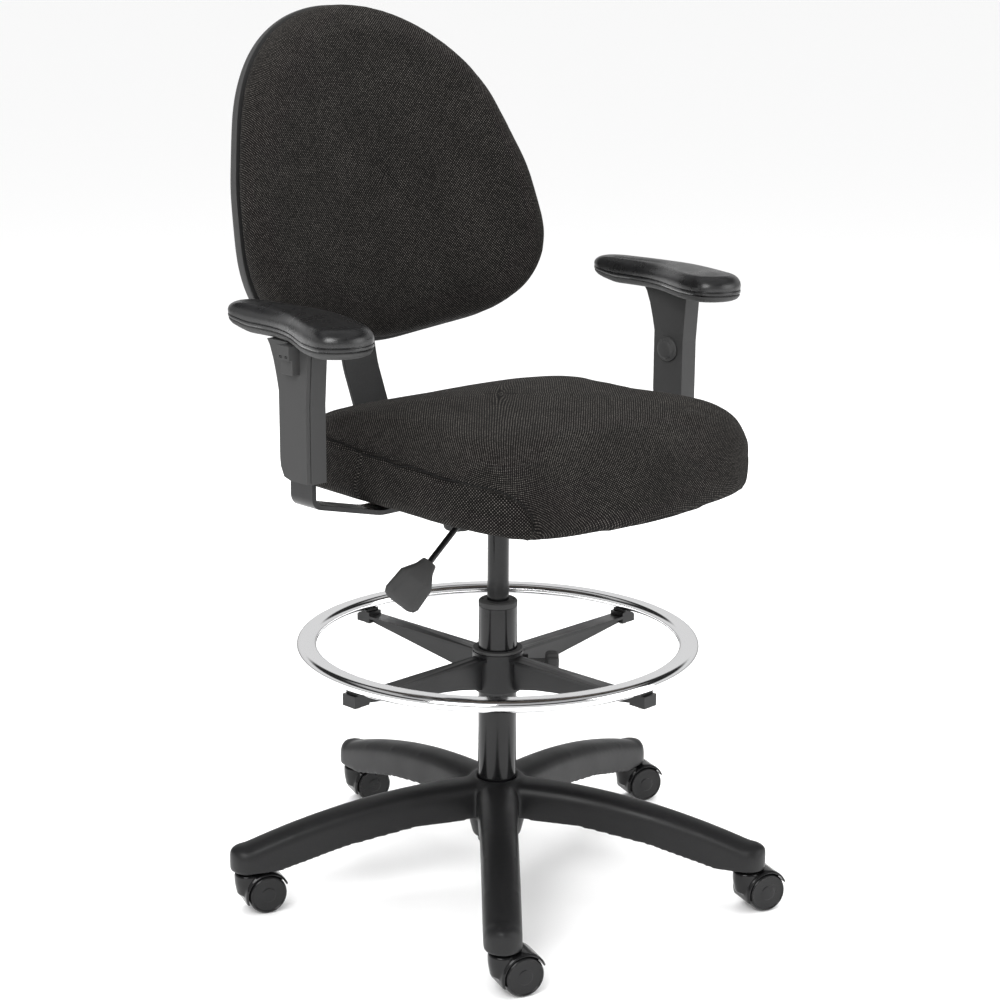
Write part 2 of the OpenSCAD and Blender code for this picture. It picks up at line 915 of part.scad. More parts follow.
// side: -1 is the sitter's right, +1 the sitter's left
module arm_bar(side) {
  h = arm_bar_t / 2;
  z1 = plate_z + plate_t - h;
  x_in = 85;
  x_flat = seat_w / 2 - 20;
  x_up = arm_x;
  z_up = 562;
  // drawn in width and height for the sitter's left, as a flat closed outline
  slope = atan2(z_up - z1, x_up - x_flat);
  r = 12;
  c1 = [x_flat, z1];
  c2 = [x_up, z1 + (x_up - x_flat) * tan(slope)];
  t1 = 60 * tan(slope / 2);
  t2 = r * tan((90 - slope) / 2);
  u = [cos(slope), sin(slope)];
  o1 = c1 + [-t1, 60];
  o2 = c2 - u * t2 + r * [-u[1], u[0]];
  color(steel)
    difference() {
      translate([0, arm_y, 0])
        scale([side, 1, 1])
          rotate([90, 0, 0])
            linear_extrude(height = arm_bar_w, center = true)
              polygon(concat(
                [[x_in, z1 - h]],
                arc(o1, 60 + h, -90, -90 + slope, 3),
                arc(o2, r + h, -90 + slope, 0, 8),
                [[x_up + h, sleeve_top_z - 60], [x_up - h, sleeve_top_z - 60]],
                arc(o2, r - h, 0, -90 + slope, 8),
                arc(o1, 60 - h, -90 + slope, -90, 3),
                [[x_in, z1 + h]]
              ));
      for (x = arm_bolt_x)
        translate([side * x, 0, plate_z - 1])
          cylinder(d = bolt_d, h = plate_t + 2);
    }
}

module arm_bar_right() {
  arm_bar(-1);
}

module arm_bar_left() {
  arm_bar(1);
}

// side view of the sleeve in depth and height
module sleeve_side(inset) {
  f = arm_y - sleeve_y / 2 + inset;
  b = arm_y + sleeve_y / 2 - inset;
  zb = sleeve_z + inset;
  zt = sleeve_top_z;
  polygon([
    [f, zb],
    [b - 19, zb],
    [b - 7, zb + 3],
    [b - 1, zb + 15],
    [b, zb + 24],
    [b, zt - 58],
    [b + 4, zt - 40],
    [b + 9, zt - 22],
    [b + 15, zt - 7],
    [b + 20, zt],
    [f - 5, zt],
    [f - 2, zt - 40],
    [f, zt - 70]
  ]);
}

module sleeve_cavity() {
  translate([-arm_bar_t / 2 - bar_clear, arm_y - arm_bar_w / 2 - bar_clear, sleeve_z - 20])
    cube([arm_bar_t + 2 * bar_clear, arm_bar_w + 2 * bar_clear, sleeve_top_z - sleeve_z - 30]);
}

// room for the button from a depth in the sleeve outwards
module button_pocket(x) {
  translate([x, button_mid_y - button_y / 2 - button_gap, button_mid_z - button_z / 2 - button_gap])
    cube([sleeve_x, button_y + 2 * button_gap, button_z + 2 * button_gap]);
}

module arm_sleeve(side) {
  color(black)
    translate([side * arm_x, 0, 0])
      scale([side, 1, 1])
        difference() {
          translate([-sleeve_x / 2 + seam_x / 2, 0, 0])
            across(seam_x)
              sleeve_side(0);
          sleeve_cavity();
          translate([0, 0, sleeve_top_z - 8])
            cylinder(r = pivot_d / 2 + run_clear, h = 20);
          translate([-sleeve_x / 2 - 1, arm_y, sleeve_top_z - cap_drop])
            rotate([0, 90, 0])
              cylinder(d = cap_hole_d, h = 6);
          button_pocket(sleeve_x / 2 - 10);
        }
}

module arm_cover(side) {
  t = sleeve_x - seam_x;
  color(black)
    translate([side * arm_x, 0, 0])
      scale([side, 1, 1])
        difference() {
          union() {
            translate([-sleeve_x / 2 + seam_x + t / 2 + 0.3, 0, 0])
              across(t - 0.6)
                sleeve_side(1);
          }
          sleeve_cavity();
          button_pocket(0);
        }
}

module arm_button(side) {
  color(black)
    translate([side * arm_x, button_mid_y, button_mid_z])
      scale([side, 1, 1]) {
        translate([sleeve_x / 2 - button_in, -button_y / 2, -button_z / 2])
          cube([button_in + button_out, button_y, button_z / 2]);
        difference() {
          translate([sleeve_x / 2 - button_in, -button_y / 2, -eps])
            cube([button_in + button_out + button_step, button_y, button_z / 2 + eps]);
          for (y = [-button_y / 4, button_y / 4])
            translate([sleeve_x / 2 + button_out + button_step - 2, y - button_y / 8, 3])
              cube([4, button_y / 4, 2.5]);
        }
      }
}

module arm_cap(side) {
  color(black)
    translate([side * (arm_x - sleeve_x / 2), arm_y, sleeve_top_z - cap_drop])
      rotate([0, -side * 90, 0]) {
        translate([0, 0, -4.5])
          cylinder(d = cap_hole_d, h = 4.5 + eps);
        cylinder(d1 = 32, d2 = 34, h = 3);
        translate([0, 0, 3 - eps])
          cylinder(d1 = 34, d2 = 24, h = 6);
        translate([0, 0, 9 - 2 * eps])
          cylinder(d1 = 24, d2 = 14, h = 1.4);
      }
}

// outline of a pad about its pivot: a bent shape, narrow behind and wide in front
module pad_outline(side, inset) {
  fr = pad_front_w / 2;
  mr = (pad_front_w + pad_rear_w) / 4 - 1;
  rr = pad_rear_w / 2;
  at = [-side * pad_shift, -pad_shift];
  rear = at + [0, pad_len / 2 - rr];
  mid = at + [pad_bend * 0.36, 0];
  front = at + [-pad_bend, -pad_len / 2 + fr];
  hull() {
    translate(rear)
      circle(r = rr - inset, $fn = 40);
    translate(mid)
      circle(r = mr - inset, $fn = 40);
  }
  hull() {
    translate(mid)
      circle(r = mr - inset, $fn = 40);
    translate(front)
      circle(r = fr - inset, $fn = 48);
  }
}

module place_pad(side) {
  translate([side * arm_x, 0, 0])
    rotate([0, 0, pad_turn])
      children();
}

module arm_plate(side) {
  color(black)
    place_pad(side)
      difference() {
        union() {
          translate([0, 0, pad_plate_z + 2.5])
            linear_extrude(height = pad_plate_t - 2.5)
              pad_outline(side, 2);
          translate([0, 0, pad_plate_z])
            linear_extrude(height = 2.5 + eps)
              pad_outline(side, 8);
          translate([0, 0, sleeve_top_z - 7])
            cylinder(d = pivot_d, h = 7 + pad_plate_z - sleeve_top_z + eps);
        }
        translate([0, 0, sleeve_top_z - 8])
          cylinder(d = 6, h = 12);
      }
}

module arm_pad(side) {
  color(black)
    place_pad(side) {
      translate([0, 0, pad_z])
        linear_extrude(height = pad_t * 0.2 + eps)
          pad_outline(side, 2);
      translate([0, 0, pad_z + pad_t * 0.2])
        linear_extrude(height = pad_t * 0.45 + eps)
          pad_outline(side, 0);
      translate([0, 0, pad_z + pad_t * 0.65])
        linear_extrude(height = pad_t * 0.2 + eps)
          pad_outline(side, 4);
      translate([0, 0, pad_z + pad_t * 0.85])
        linear_extrude(height = pad_t * 0.15)
          pad_outline(side, 12);
    }
}

// ---------- foot ring ----------

module ring_collet() {
  color(black) {
    pipe(collet_r, column_r + run_clear, spider_z - 3, spider_z + spider_h + 4);
    pipe(collet_r + 3, collet_r - eps, spider_z + spider_h + contact_gap, spider_z + spider_h + 4);
  }
}

module spoke() {
  r0 = spider_d / 2 - 2;
  r1 = ring_mid_r + end_block_w / 2;
  r2 = r1 - end_block_w + 1;
  top = spoke_top_z;
  // flat top flange
  translate([r0, -spoke_w / 2, top - 4])
    cube([r1 - r0 - 6, spoke_w, 4]);
  // web, deep at the hub
  rotate([90, 0, 0])
    linear_extrude(height = 7, center = true)
      polygon([
        [r0, spider_z + 3],
        [r0 + 40, spider_z + 12],
        [r2, top - end_block_h],
        [r2, top - 2],
        [r0, top - 2]
      ]);
  // block under the ring
  translate([ring_mid_r - end_block_w / 2, -spoke_w / 2, top - end_block_h])
    cube([end_block_w, spoke_w, end_block_h + ring_z - saddle_t - top]);
}

module ring_spider() {
  color(black)
    difference() {
      union() {
        translate([0, 0, spider_z])
          cylinder(d = spider_d, h = spider_h);
        for (i = [0 : spoke_count - 1])
          rotate([0, 0, spoke_turn + i * 360 / spoke_count])
            spoke();
        rotate([0, 0, ring_knob_turn])
          translate([spider_d / 2 - 4, 0, knob_z])
            rotate([0, 90, 0])
              cylinder(d = 20, h = 10);
      }
      translate([0, 0, spider_z - 1])
        cylinder(r = collet_r + run_clear, h = spider_h + 2);
      rotate([0, 0, ring_knob_turn])
        translate([0, 0, knob_z])
          rotate([0, 90, 0])
            cylinder(r = knob_screw_d / 2 + run_clear, h = spider_d);
      place_ring_screws()
        cylinder(d = ring_screw_d, h = 60);
    }
}

module place_ring_screws() {
  for (i = [0 : spoke_count - 1])
    rotate([0, 0, spoke_turn + i * 360 / spoke_count])
      translate([ring_mid_r, 0, spoke_top_z - end_block_h - 4])
        children();
}

module foot_ring() {
  half = (ring_w - ring_t) / 2;
  wall = 2;
  color(bright)
    difference() {
      rotate_extrude($fn = 128)
        translate([ring_mid_r, ring_z + ring_t / 2])
          union() {
            square([2 * half, ring_t], center = true);
            for (s = [-1, 1])
              translate([s * half, 0])
                circle(d = ring_t, $fn = 32);
          }
      rotate_extrude($fn = 128)
        translate([ring_mid_r, ring_z + ring_t / 2])
          union() {
            square([2 * half, ring_t - 2 * wall], center = true);
            for (s = [-1, 1])
              translate([s * half, 0])
                circle(d = ring_t - 2 * wall, $fn = 32);
          }
      place_ring_screws()
        cylinder(d = ring_screw_d, h = end_block_h + 4 + ring_z - spoke_top_z + wall + 0.5);
    }
}

module ring_saddles() {
  color(black)
    for (i = [0 : spoke_count - 1])
      rotate([0, 0, spoke_turn + i * 360 / spoke_count])
        difference() {
          translate([ring_mid_r - (ring_w - ring_t) / 2, -spoke_w / 2, ring_z - saddle_t])
            cube([ring_w - ring_t, spoke_w, saddle_t]);
          translate([ring_mid_r, 0, ring_z - saddle_t - 1])
            cylinder(d = ring_screw_d, h = saddle_t + 2);
        }
}

module ring_screws() {
  color(bright)
    place_ring_screws() {
      cylinder(d = ring_screw_d, h = end_block_h + 4 + ring_z - spoke_top_z + 2);
      difference() {
        cylinder(d = 11, h = 4 - eps);
        translate([0, 0, -1])
          cylinder(d = 5, h = 3.5, $fn = 6);
      }
    }
}

module ring_knob() {
  color(black)
    rotate([0, 0, ring_knob_turn])
      translate([0, 0, knob_z])
        rotate([0, 90, 0]) {
          translate([0, 0, collet_r + 0.3])
            cylinder(d = knob_screw_d, h = 70 - collet_r);
          translate([0, 0, 62])
            fluted_knob(ring_knob_d, 17, 8);
        }
}

base_star();
column_tube();
column_bush();
thrust_bearing();
caster_hood(0);  // caster_1_hood
caster_stem(0);  // caster_1_stem
caster_axle(0);  // caster_1_axle
caster_wheels(0);  // caster_1_wheels
caster_hood(1);  // caster_2_hood
caster_stem(1);  // caster_2_stem
caster_axle(1);  // caster_2_axle
caster_wheels(1);  // caster_2_wheels
caster_hood(2);  // caster_3_hood
caster_stem(2);  // caster_3_stem
caster_axle(2);  // caster_3_axle
caster_wheels(2);  // caster_3_wheels
caster_hood(3);  // caster_4_hood
caster_stem(3);  // caster_4_stem
caster_axle(3);  // caster_4_axle
caster_wheels(3);  // caster_4_wheels
caster_hood(4);  // caster_5_hood
caster_stem(4);  // caster_5_stem
caster_axle(4);  // caster_5_axle
caster_wheels(4);  // caster_5_wheels
piston_rod();
gas_cylinder();
valve_pin();
mechanism_housing();
seat_board();
seat_cushion();
seat_bolts();
arm_bar_right();
arm_bar_left();
lever_rod();
lever_paddle();
back_bar();
depth_knob();
back_shell();
back_cushion();
back_bracket();
height_knob();
arm_cover(-1);  // arm_cover_right
arm_sleeve(-1);  // arm_sleeve_right
arm_plate(-1);  // arm_plate_right
arm_pad(-1);  // arm_pad_right
arm_button(-1);  // arm_button_right
arm_cap(-1);  // arm_cap_right
arm_cover(1);  // arm_cover_left
arm_sleeve(1);  // arm_sleeve_left
arm_plate(1);  // arm_plate_left
arm_pad(1);  // arm_pad_left
arm_button(1);  // arm_button_left
arm_cap(1);  // arm_cap_left
ring_collet();
ring_spider();
foot_ring();
ring_saddles();
ring_screws();
ring_knob();
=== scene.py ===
"""Drafting chair: what shows of it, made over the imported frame. Metres, +Z up, front of the chair towards -Y."""

import json
import logging
import math
from collections.abc import Callable, Sequence
from dataclasses import dataclass
from enum import Enum

import bmesh
import bpy
import numpy as np
from mathutils import Matrix, Vector, kdtree

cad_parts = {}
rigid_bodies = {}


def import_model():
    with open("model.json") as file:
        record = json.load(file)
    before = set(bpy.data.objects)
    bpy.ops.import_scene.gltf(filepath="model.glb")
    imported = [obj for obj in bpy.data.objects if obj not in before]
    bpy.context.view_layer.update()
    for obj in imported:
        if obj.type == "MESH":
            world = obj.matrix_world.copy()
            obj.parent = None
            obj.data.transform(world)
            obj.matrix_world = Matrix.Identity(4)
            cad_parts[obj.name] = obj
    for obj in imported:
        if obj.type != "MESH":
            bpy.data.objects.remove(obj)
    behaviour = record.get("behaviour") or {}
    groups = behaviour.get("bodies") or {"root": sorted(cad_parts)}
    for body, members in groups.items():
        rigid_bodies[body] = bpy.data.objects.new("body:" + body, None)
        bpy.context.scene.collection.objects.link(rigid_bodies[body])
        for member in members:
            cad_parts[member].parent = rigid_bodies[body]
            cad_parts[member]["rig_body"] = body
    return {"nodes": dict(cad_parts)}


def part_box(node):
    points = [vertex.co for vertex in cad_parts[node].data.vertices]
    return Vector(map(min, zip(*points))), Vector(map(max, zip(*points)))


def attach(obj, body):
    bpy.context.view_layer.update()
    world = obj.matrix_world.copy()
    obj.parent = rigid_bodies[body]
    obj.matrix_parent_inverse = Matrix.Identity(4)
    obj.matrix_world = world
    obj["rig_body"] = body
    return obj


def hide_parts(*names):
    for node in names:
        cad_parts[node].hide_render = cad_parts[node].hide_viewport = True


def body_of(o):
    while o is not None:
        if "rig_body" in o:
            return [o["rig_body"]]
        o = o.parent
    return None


LOG = logging.getLogger("chair")
MERGE = 1e-6  # points closer than this become one


# ---------- shapes worked out as arrays ----------


def smooth_step(value: np.ndarray, start: float, end: float) -> np.ndarray:
    """Eases from 0 at start to 1 at end: t * t * (3 - 2 * t), with t the share of the way.

    Args:
        value: Where the ease is asked for.
        start: Value that gives 0.
        end: Value that gives 1.

    Returns:
        An array shaped like value.
    """
    share = np.clip((np.asarray(value, float) - start) / (end - start), 0.0, 1.0)
    return share * share * (3.0 - 2.0 * share)


def relaxed(line: np.ndarray, passes: int) -> np.ndarray:
    """An open line whose inner points have moved, passes times, to (before + 2 * self + after) / 4."""
    out = line.copy()
    for _ in range(passes):
        out[1:-1] = (out[:-2] + 2.0 * out[1:-1] + out[2:]) / 4.0
    return out


def curve(start: np.ndarray, pull: np.ndarray, end: np.ndarray, count: int) -> np.ndarray:
    """A quadratic curve of count points: (1 - t)^2 * start + 2 t (1 - t) * pull + t^2 * end."""
    t = np.linspace(0.0, 1.0, count)[:, None]
    return (1 - t) ** 2 * start + 2 * t * (1 - t) * pull + t * t * end


def power_loop(angle: np.ndarray, n: float) -> tuple[np.ndarray, np.ndarray]:
    """The point of |a|^n + |b|^n = 1 for each angle: sign(cos) * |cos|^(2 / n), and the same of the sine."""
    a, b = (np.sign(v) * np.abs(v) ** (2.0 / n) for v in (np.cos(angle), np.sin(angle)))
    return a, b


def even_loop(points: np.ndarray, count: int, soften: int = 0) -> np.ndarray:
    """Spaces points evenly along a closed line.

    Args:
        points: Corners of the line, (n, k), the last joined to the first.
        count: How many points to give back.
        soften: How many times each point is moved to (before + 2 * self + after) / 4.

    Returns:
        The even points, (count, k).
    """
    closed = np.vstack([points, points[:1]])
    steps = np.linalg.norm(np.diff(closed, axis=0), axis=1)
    along = np.concatenate([[0.0], np.cumsum(steps)])
    wanted = np.linspace(0.0, along[-1], count, endpoint=False)
    out = np.stack([np.interp(wanted, along, closed[:, k]) for k in range(points.shape[1])], -1)
    for _ in range(soften):
        out = (np.roll(out, 1, 0) + 2.0 * out + np.roll(out, -1, 0)) / 4.0
    return out


def string_outline(discs: np.ndarray, inset: float, count: int, soften: int = 6) -> np.ndarray:
    """The line of a string pulled tight round discs: in each direction, the disc that reaches furthest gives
    the point centre + (radius - inset) * direction.

    Args:
        discs: Centre x, centre y, radius, and the least -y share of the directions a disc may answer for.
        inset: How far inside the discs the line runs.
        count: Points round the line.
        soften: Passes of softening where a disc hands over to a straight.

    Returns:
        The outline, (count, 2).
    """
    angle = np.linspace(0.0, 2.0 * np.pi, 1440, endpoint=False) + np.pi / 2.0
    way = np.stack([np.cos(angle), np.sin(angle)], -1)
    reach = discs[:, :2] @ way.T + discs[:, 2:3]
    reach = np.where(-way[:, 1][None, :] >= discs[:, 3:4], reach, -np.inf)
    best = reach.argmax(0)
    line = discs[best, :2] + (discs[best, 2] - inset)[:, None] * way
    return even_loop(line, count, soften)


def outward(loop: np.ndarray) -> np.ndarray:
    """Unit vectors pointing out of a closed flat line that runs anticlockwise: its tangent turned by -90 degrees."""
    along = np.roll(loop, -1, 0) - np.roll(loop, 1, 0)
    normal = np.stack([along[:, 1], -along[:, 0]], -1)
    return normal / np.linalg.norm(normal, axis=1, keepdims=True)


def bearing(flat: np.ndarray) -> np.ndarray:
    """The angle of each place about the origin."""
    return np.arctan2(flat[:, 1], flat[:, 0])


def way_out(flat: np.ndarray, plan: np.ndarray) -> np.ndarray:
    """For each place, the outward direction of an outline where it lies at the same bearing."""
    angle = bearing(plan)
    order = np.argsort(angle)
    facing = outward(plan)[order]
    own = bearing(flat)
    return np.stack([np.interp(own, angle[order], facing[:, k], period=2 * np.pi) for k in range(2)], -1)


def rounded_line(corners: Sequence[tuple[float, float, float]], steps: int = 5) -> np.ndarray:
    """An open flat line with its corners rounded: each corner becomes a quadratic curve between the two points
    that lie its radius away along its sides.

    Args:
        corners: x, y and rounding of each corner.
        steps: Points on each rounded corner.

    Returns:
        The line, (n, 2).
    """
    spots = np.array([c[:2] for c in corners], float)
    line = [spots[:1]]
    for k in range(1, len(corners) - 1):
        size = corners[k][2]
        if size <= 0:
            line.append(spots[k : k + 1])
            continue
        back, ahead = spots[k - 1] - spots[k], spots[k + 1] - spots[k]
        a = spots[k] + back * min(0.49, size / np.linalg.norm(back))
        b = spots[k] + ahead * min(0.49, size / np.linalg.norm(ahead))
        line.append(curve(a, spots[k], b, steps))
    return np.vstack([*line, spots[-1:]])


def lathe(profile: np.ndarray, segments: int) -> np.ndarray:
    """Turns a profile of radius and height about Z: (r cos a, r sin a, z) for each angle a.

    Args:
        profile: Radius and height, (n, 2).
        segments: Points round the axis.

    Returns:
        A grid of points, (n, segments, 3).
    """
    angle = np.linspace(0.0, 2.0 * np.pi, segments, endpoint=False)
    radius, height = profile[:, :1], profile[:, 1:]
    return np.stack([radius * np.cos(angle), radius * np.sin(angle), height * np.ones_like(angle)], -1)


def tube(path: np.ndarray, radius: np.ndarray, side: np.ndarray, around: int = 24) -> np.ndarray:
    """Carries a circle along a path that lies in one plane: point + r (cos a * side + sin a * third).

    Args:
        path: Centre points, (n, 3).
        radius: Radius at each point, (n,).
        side: Unit vector square to the plane of the path.
        around: Points round the circle.

    Returns:
        A grid of points, (n, around, 3).
    """
    along = np.gradient(path, axis=0)
    along /= np.linalg.norm(along, axis=1, keepdims=True)
    third = np.cross(along, side)
    angle = np.linspace(0.0, 2.0 * np.pi, around, endpoint=False)
    ring = np.cos(angle)[None, :, None] * side + np.sin(angle)[None, :, None] * third[:, None, :]
    return path[:, None, :] + radius[:, None, None] * ring


def turned(points: np.ndarray, angle: float, axis: str = "Z") -> np.ndarray:
    """The points turned about a main axis through the origin, by an angle in radians."""
    return points @ np.array(Matrix.Rotation(angle, 3, axis)).T


class Surface:
    """A mesh being worked out: its points, and its faces as lists of point numbers."""

    def __init__(self) -> None:
        """Starts with nothing in it."""
        self.points = np.zeros((0, 3))
        self.faces: list[list[int]] = []

    def add_grid(self, grid: np.ndarray, cap: bool = True, closed: bool = True) -> "Surface":
        """Adds quads over a grid of rings, with a fan to a middle point at each end.

        Args:
            grid: Points, (rings, around, 3).
            cap: Whether the two ends are closed.
            closed: Whether each ring joins up with itself.

        Returns:
            This surface, so that calls can follow on.
        """
        rings, around = grid.shape[:2]
        start = len(self.points)
        row = np.arange(rings - 1)[:, None] * around
        col = np.arange(around if closed else around - 1)[None, :]
        nxt = (col + 1) % around
        quads = np.stack([row + col, row + nxt, row + around + nxt, row + around + col], -1)
        self.faces += (quads.reshape(-1, 4) + start).tolist()
        points = [grid.reshape(-1, 3)]
        if cap:
            ends = [grid[0].mean(0), grid[-1].mean(0)]
            middle = start + rings * around
            for k, first in enumerate((0, (rings - 1) * around)):
                hub = np.full(around, middle + k)
                fan = np.stack([hub, start + first + col[0], start + first + nxt[0]], -1)
                self.faces += (fan if k else fan[:, ::-1]).tolist()
            points.append(np.array(ends))
        self.points = np.vstack([self.points, *points])
        return self

    def add_block(self, low: Sequence[float], high: Sequence[float]) -> "Surface":
        """Adds a closed box between two corners, as a four-sided ring carried straight up."""
        x0, y0, z0 = low
        x1, y1, z1 = high
        ring = np.array([[x0, y0], [x1, y0], [x1, y1], [x0, y1]])
        grid = np.stack([np.column_stack([ring, np.full(4, z)]) for z in (z0, z1)])
        return self.add_grid(grid)

    def moved(self, change: Callable[[np.ndarray], np.ndarray]) -> "Surface":
        """Applies a function of an (n, 3) array to the points, and gives this surface back."""
        self.points = change(self.points)
        return self

    def join(self, other: "Surface") -> "Surface":
        """Adds another surface's points and faces to this one."""
        start = len(self.points)
        self.points = np.vstack([self.points, other.points])
        self.faces += [[i + start for i in face] for face in other.faces]
        return self

    def piece(self, name: str, sharp: float = 35.0) -> bpy.types.Object:
        """Makes the object, smooth shaded, with edges kept crisp past an angle.

        Args:
            name: The object's name.
            sharp: Edge angle in degrees past which shading breaks.

        Returns:
            The new object, at the origin.
        """
        mesh = bpy.data.meshes.new(name)
        mesh.from_pydata(self.points.tolist(), [], self.faces)
        tidy_mesh(mesh)
        shade(mesh, sharp)
        return new_object(name, mesh)


def new_object(name: str, data: bpy.types.ID) -> bpy.types.Object:
    """Puts an object into the scene, at the origin."""
    obj = bpy.data.objects.new(name, data)
    bpy.context.scene.collection.objects.link(obj)
    return obj


def tidy_mesh(mesh: bpy.types.Mesh) -> None:
    """Merges doubled points, drops collapsed faces and turns every face outwards."""
    work = bmesh.new()
    work.from_mesh(mesh)
    bmesh.ops.remove_doubles(work, verts=work.verts, dist=MERGE)
    bmesh.ops.dissolve_degenerate(work, edges=work.edges, dist=MERGE)
    bmesh.ops.recalc_face_normals(work, faces=work.faces)
    work.to_mesh(mesh)
    work.free()


def shade(mesh: bpy.types.Mesh, sharp: float) -> None:
    """Smooth shading with crisp edges past an angle in degrees."""
    mesh.shade_smooth()
    mesh.set_sharp_from_angle(angle=math.radians(sharp))


def points_of(obj: bpy.types.Object) -> np.ndarray:
    """An object's points as an array, (n, 3)."""
    flat = np.empty(len(obj.data.vertices) * 3)
    obj.data.vertices.foreach_get("co", flat)
    return flat.reshape(-1, 3)


def normals_of(obj: bpy.types.Object) -> np.ndarray:
    """An object's point normals as an array, (n, 3)."""
    flat = np.empty(len(obj.data.vertices) * 3)
    obj.data.vertices.foreach_get("normal", flat)
    return flat.reshape(-1, 3)


def set_points(obj: bpy.types.Object, points: np.ndarray) -> None:
    """Moves an object's points to an array of the same length."""
    obj.data.vertices.foreach_set("co", points.ravel())
    obj.data.update()


def settle_modifiers(obj: bpy.types.Object) -> None:
    """Replaces an object's mesh by what its modifiers make of it, and takes the modifiers off."""
    graph = bpy.context.evaluated_depsgraph_get()
    graph.update()
    made = bpy.data.meshes.new_from_object(obj.evaluated_get(graph))
    old = obj.data
    obj.modifiers.clear()
    obj.data = made
    made.name = obj.name
    bpy.data.meshes.remove(old)


def add_relax(obj: bpy.types.Object, passes: int) -> None:
    """Adds the modifier that moves each point halfway to the mean of its neighbours, passes times."""
    relax = obj.modifiers.new("relax", "SMOOTH")
    relax.factor = 0.5
    relax.iterations = passes


def weld_shapes(obj: bpy.types.Object, voxel: float, smooth: int) -> None:
    """Runs overlapping closed shapes into one skin, then relaxes it so that the joins are filleted.

    Args:
        obj: The object, changed in place.
        voxel: Size of the cells that the skin is drawn over.
        smooth: Passes of relaxing.
    """
    remesh = obj.modifiers.new("skin", "REMESH")
    remesh.mode = "VOXEL"
    remesh.voxel_size = voxel
    add_relax(obj, smooth)
    settle_modifiers(obj)
    shade(obj.data, 180.0)


def cut_away(obj: bpy.types.Object, cutter: Surface) -> None:
    """Takes a closed surface's volume out of an object."""
    tool = cutter.piece("cutter")
    knife = obj.modifiers.new("cut", "BOOLEAN")
    knife.operation = "DIFFERENCE"
    knife.solver = "EXACT"
    knife.object = tool
    settle_modifiers(obj)
    bpy.data.objects.remove(tool)


def put_map(obj: bpy.types.Object, flat: np.ndarray) -> None:
    """Gives an object a UV map in metres from one flat place for each point.

    Args:
        obj: The object.
        flat: Places on the cloth, (points, 2).
    """
    layer = obj.data.uv_layers.new(name="weave")
    corner = np.empty(len(obj.data.loops), int)
    obj.data.loops.foreach_get("vertex_index", corner)
    layer.uv.foreach_set("vector", flat[corner].ravel())


# ---------- finishes ----------


class Tree:
    """A short way to write out one material's nodes."""

    def __init__(self, name: str, colour: tuple[float, float, float], roughness: float) -> None:
        """Starts a material with its shader's plain colour and roughness."""
        self.material = bpy.data.materials.new(name)
        self.material.use_nodes = True
        self.nodes = self.material.node_tree.nodes
        self.links = self.material.node_tree.links
        self.shader = self.nodes["Principled BSDF"]
        self.where = self.nodes.new("ShaderNodeTexCoord").outputs["Object"]
        self.shader.inputs["Base Color"].default_value = (*colour, 1.0)
        self.shader.inputs["Roughness"].default_value = roughness
        self.material.diffuse_color = (*colour, 1.0)

    def put(self, kind: str, inputs: dict, output: int | str = 0, **settings) -> bpy.types.NodeSocket:
        """Adds one node.

        Args:
            kind: The node's type, without "ShaderNode".
            inputs: Sockets by name or number, each a constant or another node's output.
            output: The output to give back.
            **settings: The node's own settings.

        Returns:
            The chosen output.
        """
        node = self.nodes.new("ShaderNode" + kind)
        for key, value in settings.items():
            setattr(node, key, value)
        for key, value in inputs.items():
            if isinstance(value, bpy.types.NodeSocket):
                self.links.new(value, node.inputs[key])
            else:
                node.inputs[key].default_value = value
        return node.outputs[output]

    def sum(self, operation: str, a, b=0.0) -> bpy.types.NodeSocket:
        """One step of arithmetic on two numbers or outputs."""
        return self.put("Math", {0: a, 1: b}, operation=operation)

    def noise(self, pitch: float, detail: float = 2.0, where=None) -> bpy.types.NodeSocket:
        """Soft noise from 0 to 1 whose features are about pitch metres across."""
        inputs = {"Vector": where or self.where, "Scale": 1.0 / pitch, "Detail": detail}
        return self.put("TexNoise", inputs)

    def spread(self, value, low: float, high: float, to_low: float, to_high: float) -> bpy.types.NodeSocket:
        """Maps low..high to to_low..to_high, clamped."""
        inputs = {"Value": value, 1: low, 2: high, 3: to_low, 4: to_high}
        return self.put("MapRange", inputs)

    def tint(self, share, dark: Sequence[float], light: Sequence[float]) -> None:
        """Runs the shader's colour between two colours by a share."""
        inputs = {0: share, 6: (*dark, 1.0), 7: (*light, 1.0)}
        mixed = self.put("Mix", inputs, output=2, data_type="RGBA")
        self.links.new(mixed, self.shader.inputs["Base Color"])

    def relief(self, height, depth: float, strength: float = 1.0) -> None:
        """Raises the shader's surface by a height, depth metres at 1."""
        inputs = {"Height": height, "Distance": depth, "Strength": strength}
        self.links.new(self.put("Bump", inputs), self.shader.inputs["Normal"])

    def gloss(self, value) -> None:
        """Feeds the shader's roughness."""
        self.links.new(value, self.shader.inputs["Roughness"])


@dataclass(frozen=True)
class MouldedPlastic:
    """Black plastic with the fine grain that its mould gives it."""

    name: str
    colour: tuple[float, float, float] = (0.016, 0.016, 0.0165)
    roughness: float = 0.46
    grain: float = 0.0009
    depth: float = 0.00006
    streak: float = 0.06

    def build(self) -> bpy.types.Material:
        """The material: grain in the relief, slow changes of tone and gloss, and a painted highlight that lightens
        the grain's raised crests.
        """
        tree = Tree(self.name, self.colour, self.roughness)
        grain = tree.noise(self.grain, 3.0)
        slow = tree.noise(self.streak, 2.0)
        tree.relief(grain, self.depth)
        tree.gloss(tree.spread(slow, 0.3, 0.7, self.roughness - 0.05, self.roughness + 0.06))
        tree.shader.inputs["Specular IOR Level"].default_value = 0.3
        # painted highlight: colour up to 2.1 times lighter on the grain's raised crests, varied at random by slow
        # noise
        painted_grain_highlight = tree.sum("MULTIPLY", tree.spread(grain, 0.45, 0.75, 0.0, 1.0), slow)
        light = tuple(c * 2.1 for c in self.colour)
        tree.tint(painted_grain_highlight, self.colour, light)
        return tree.material


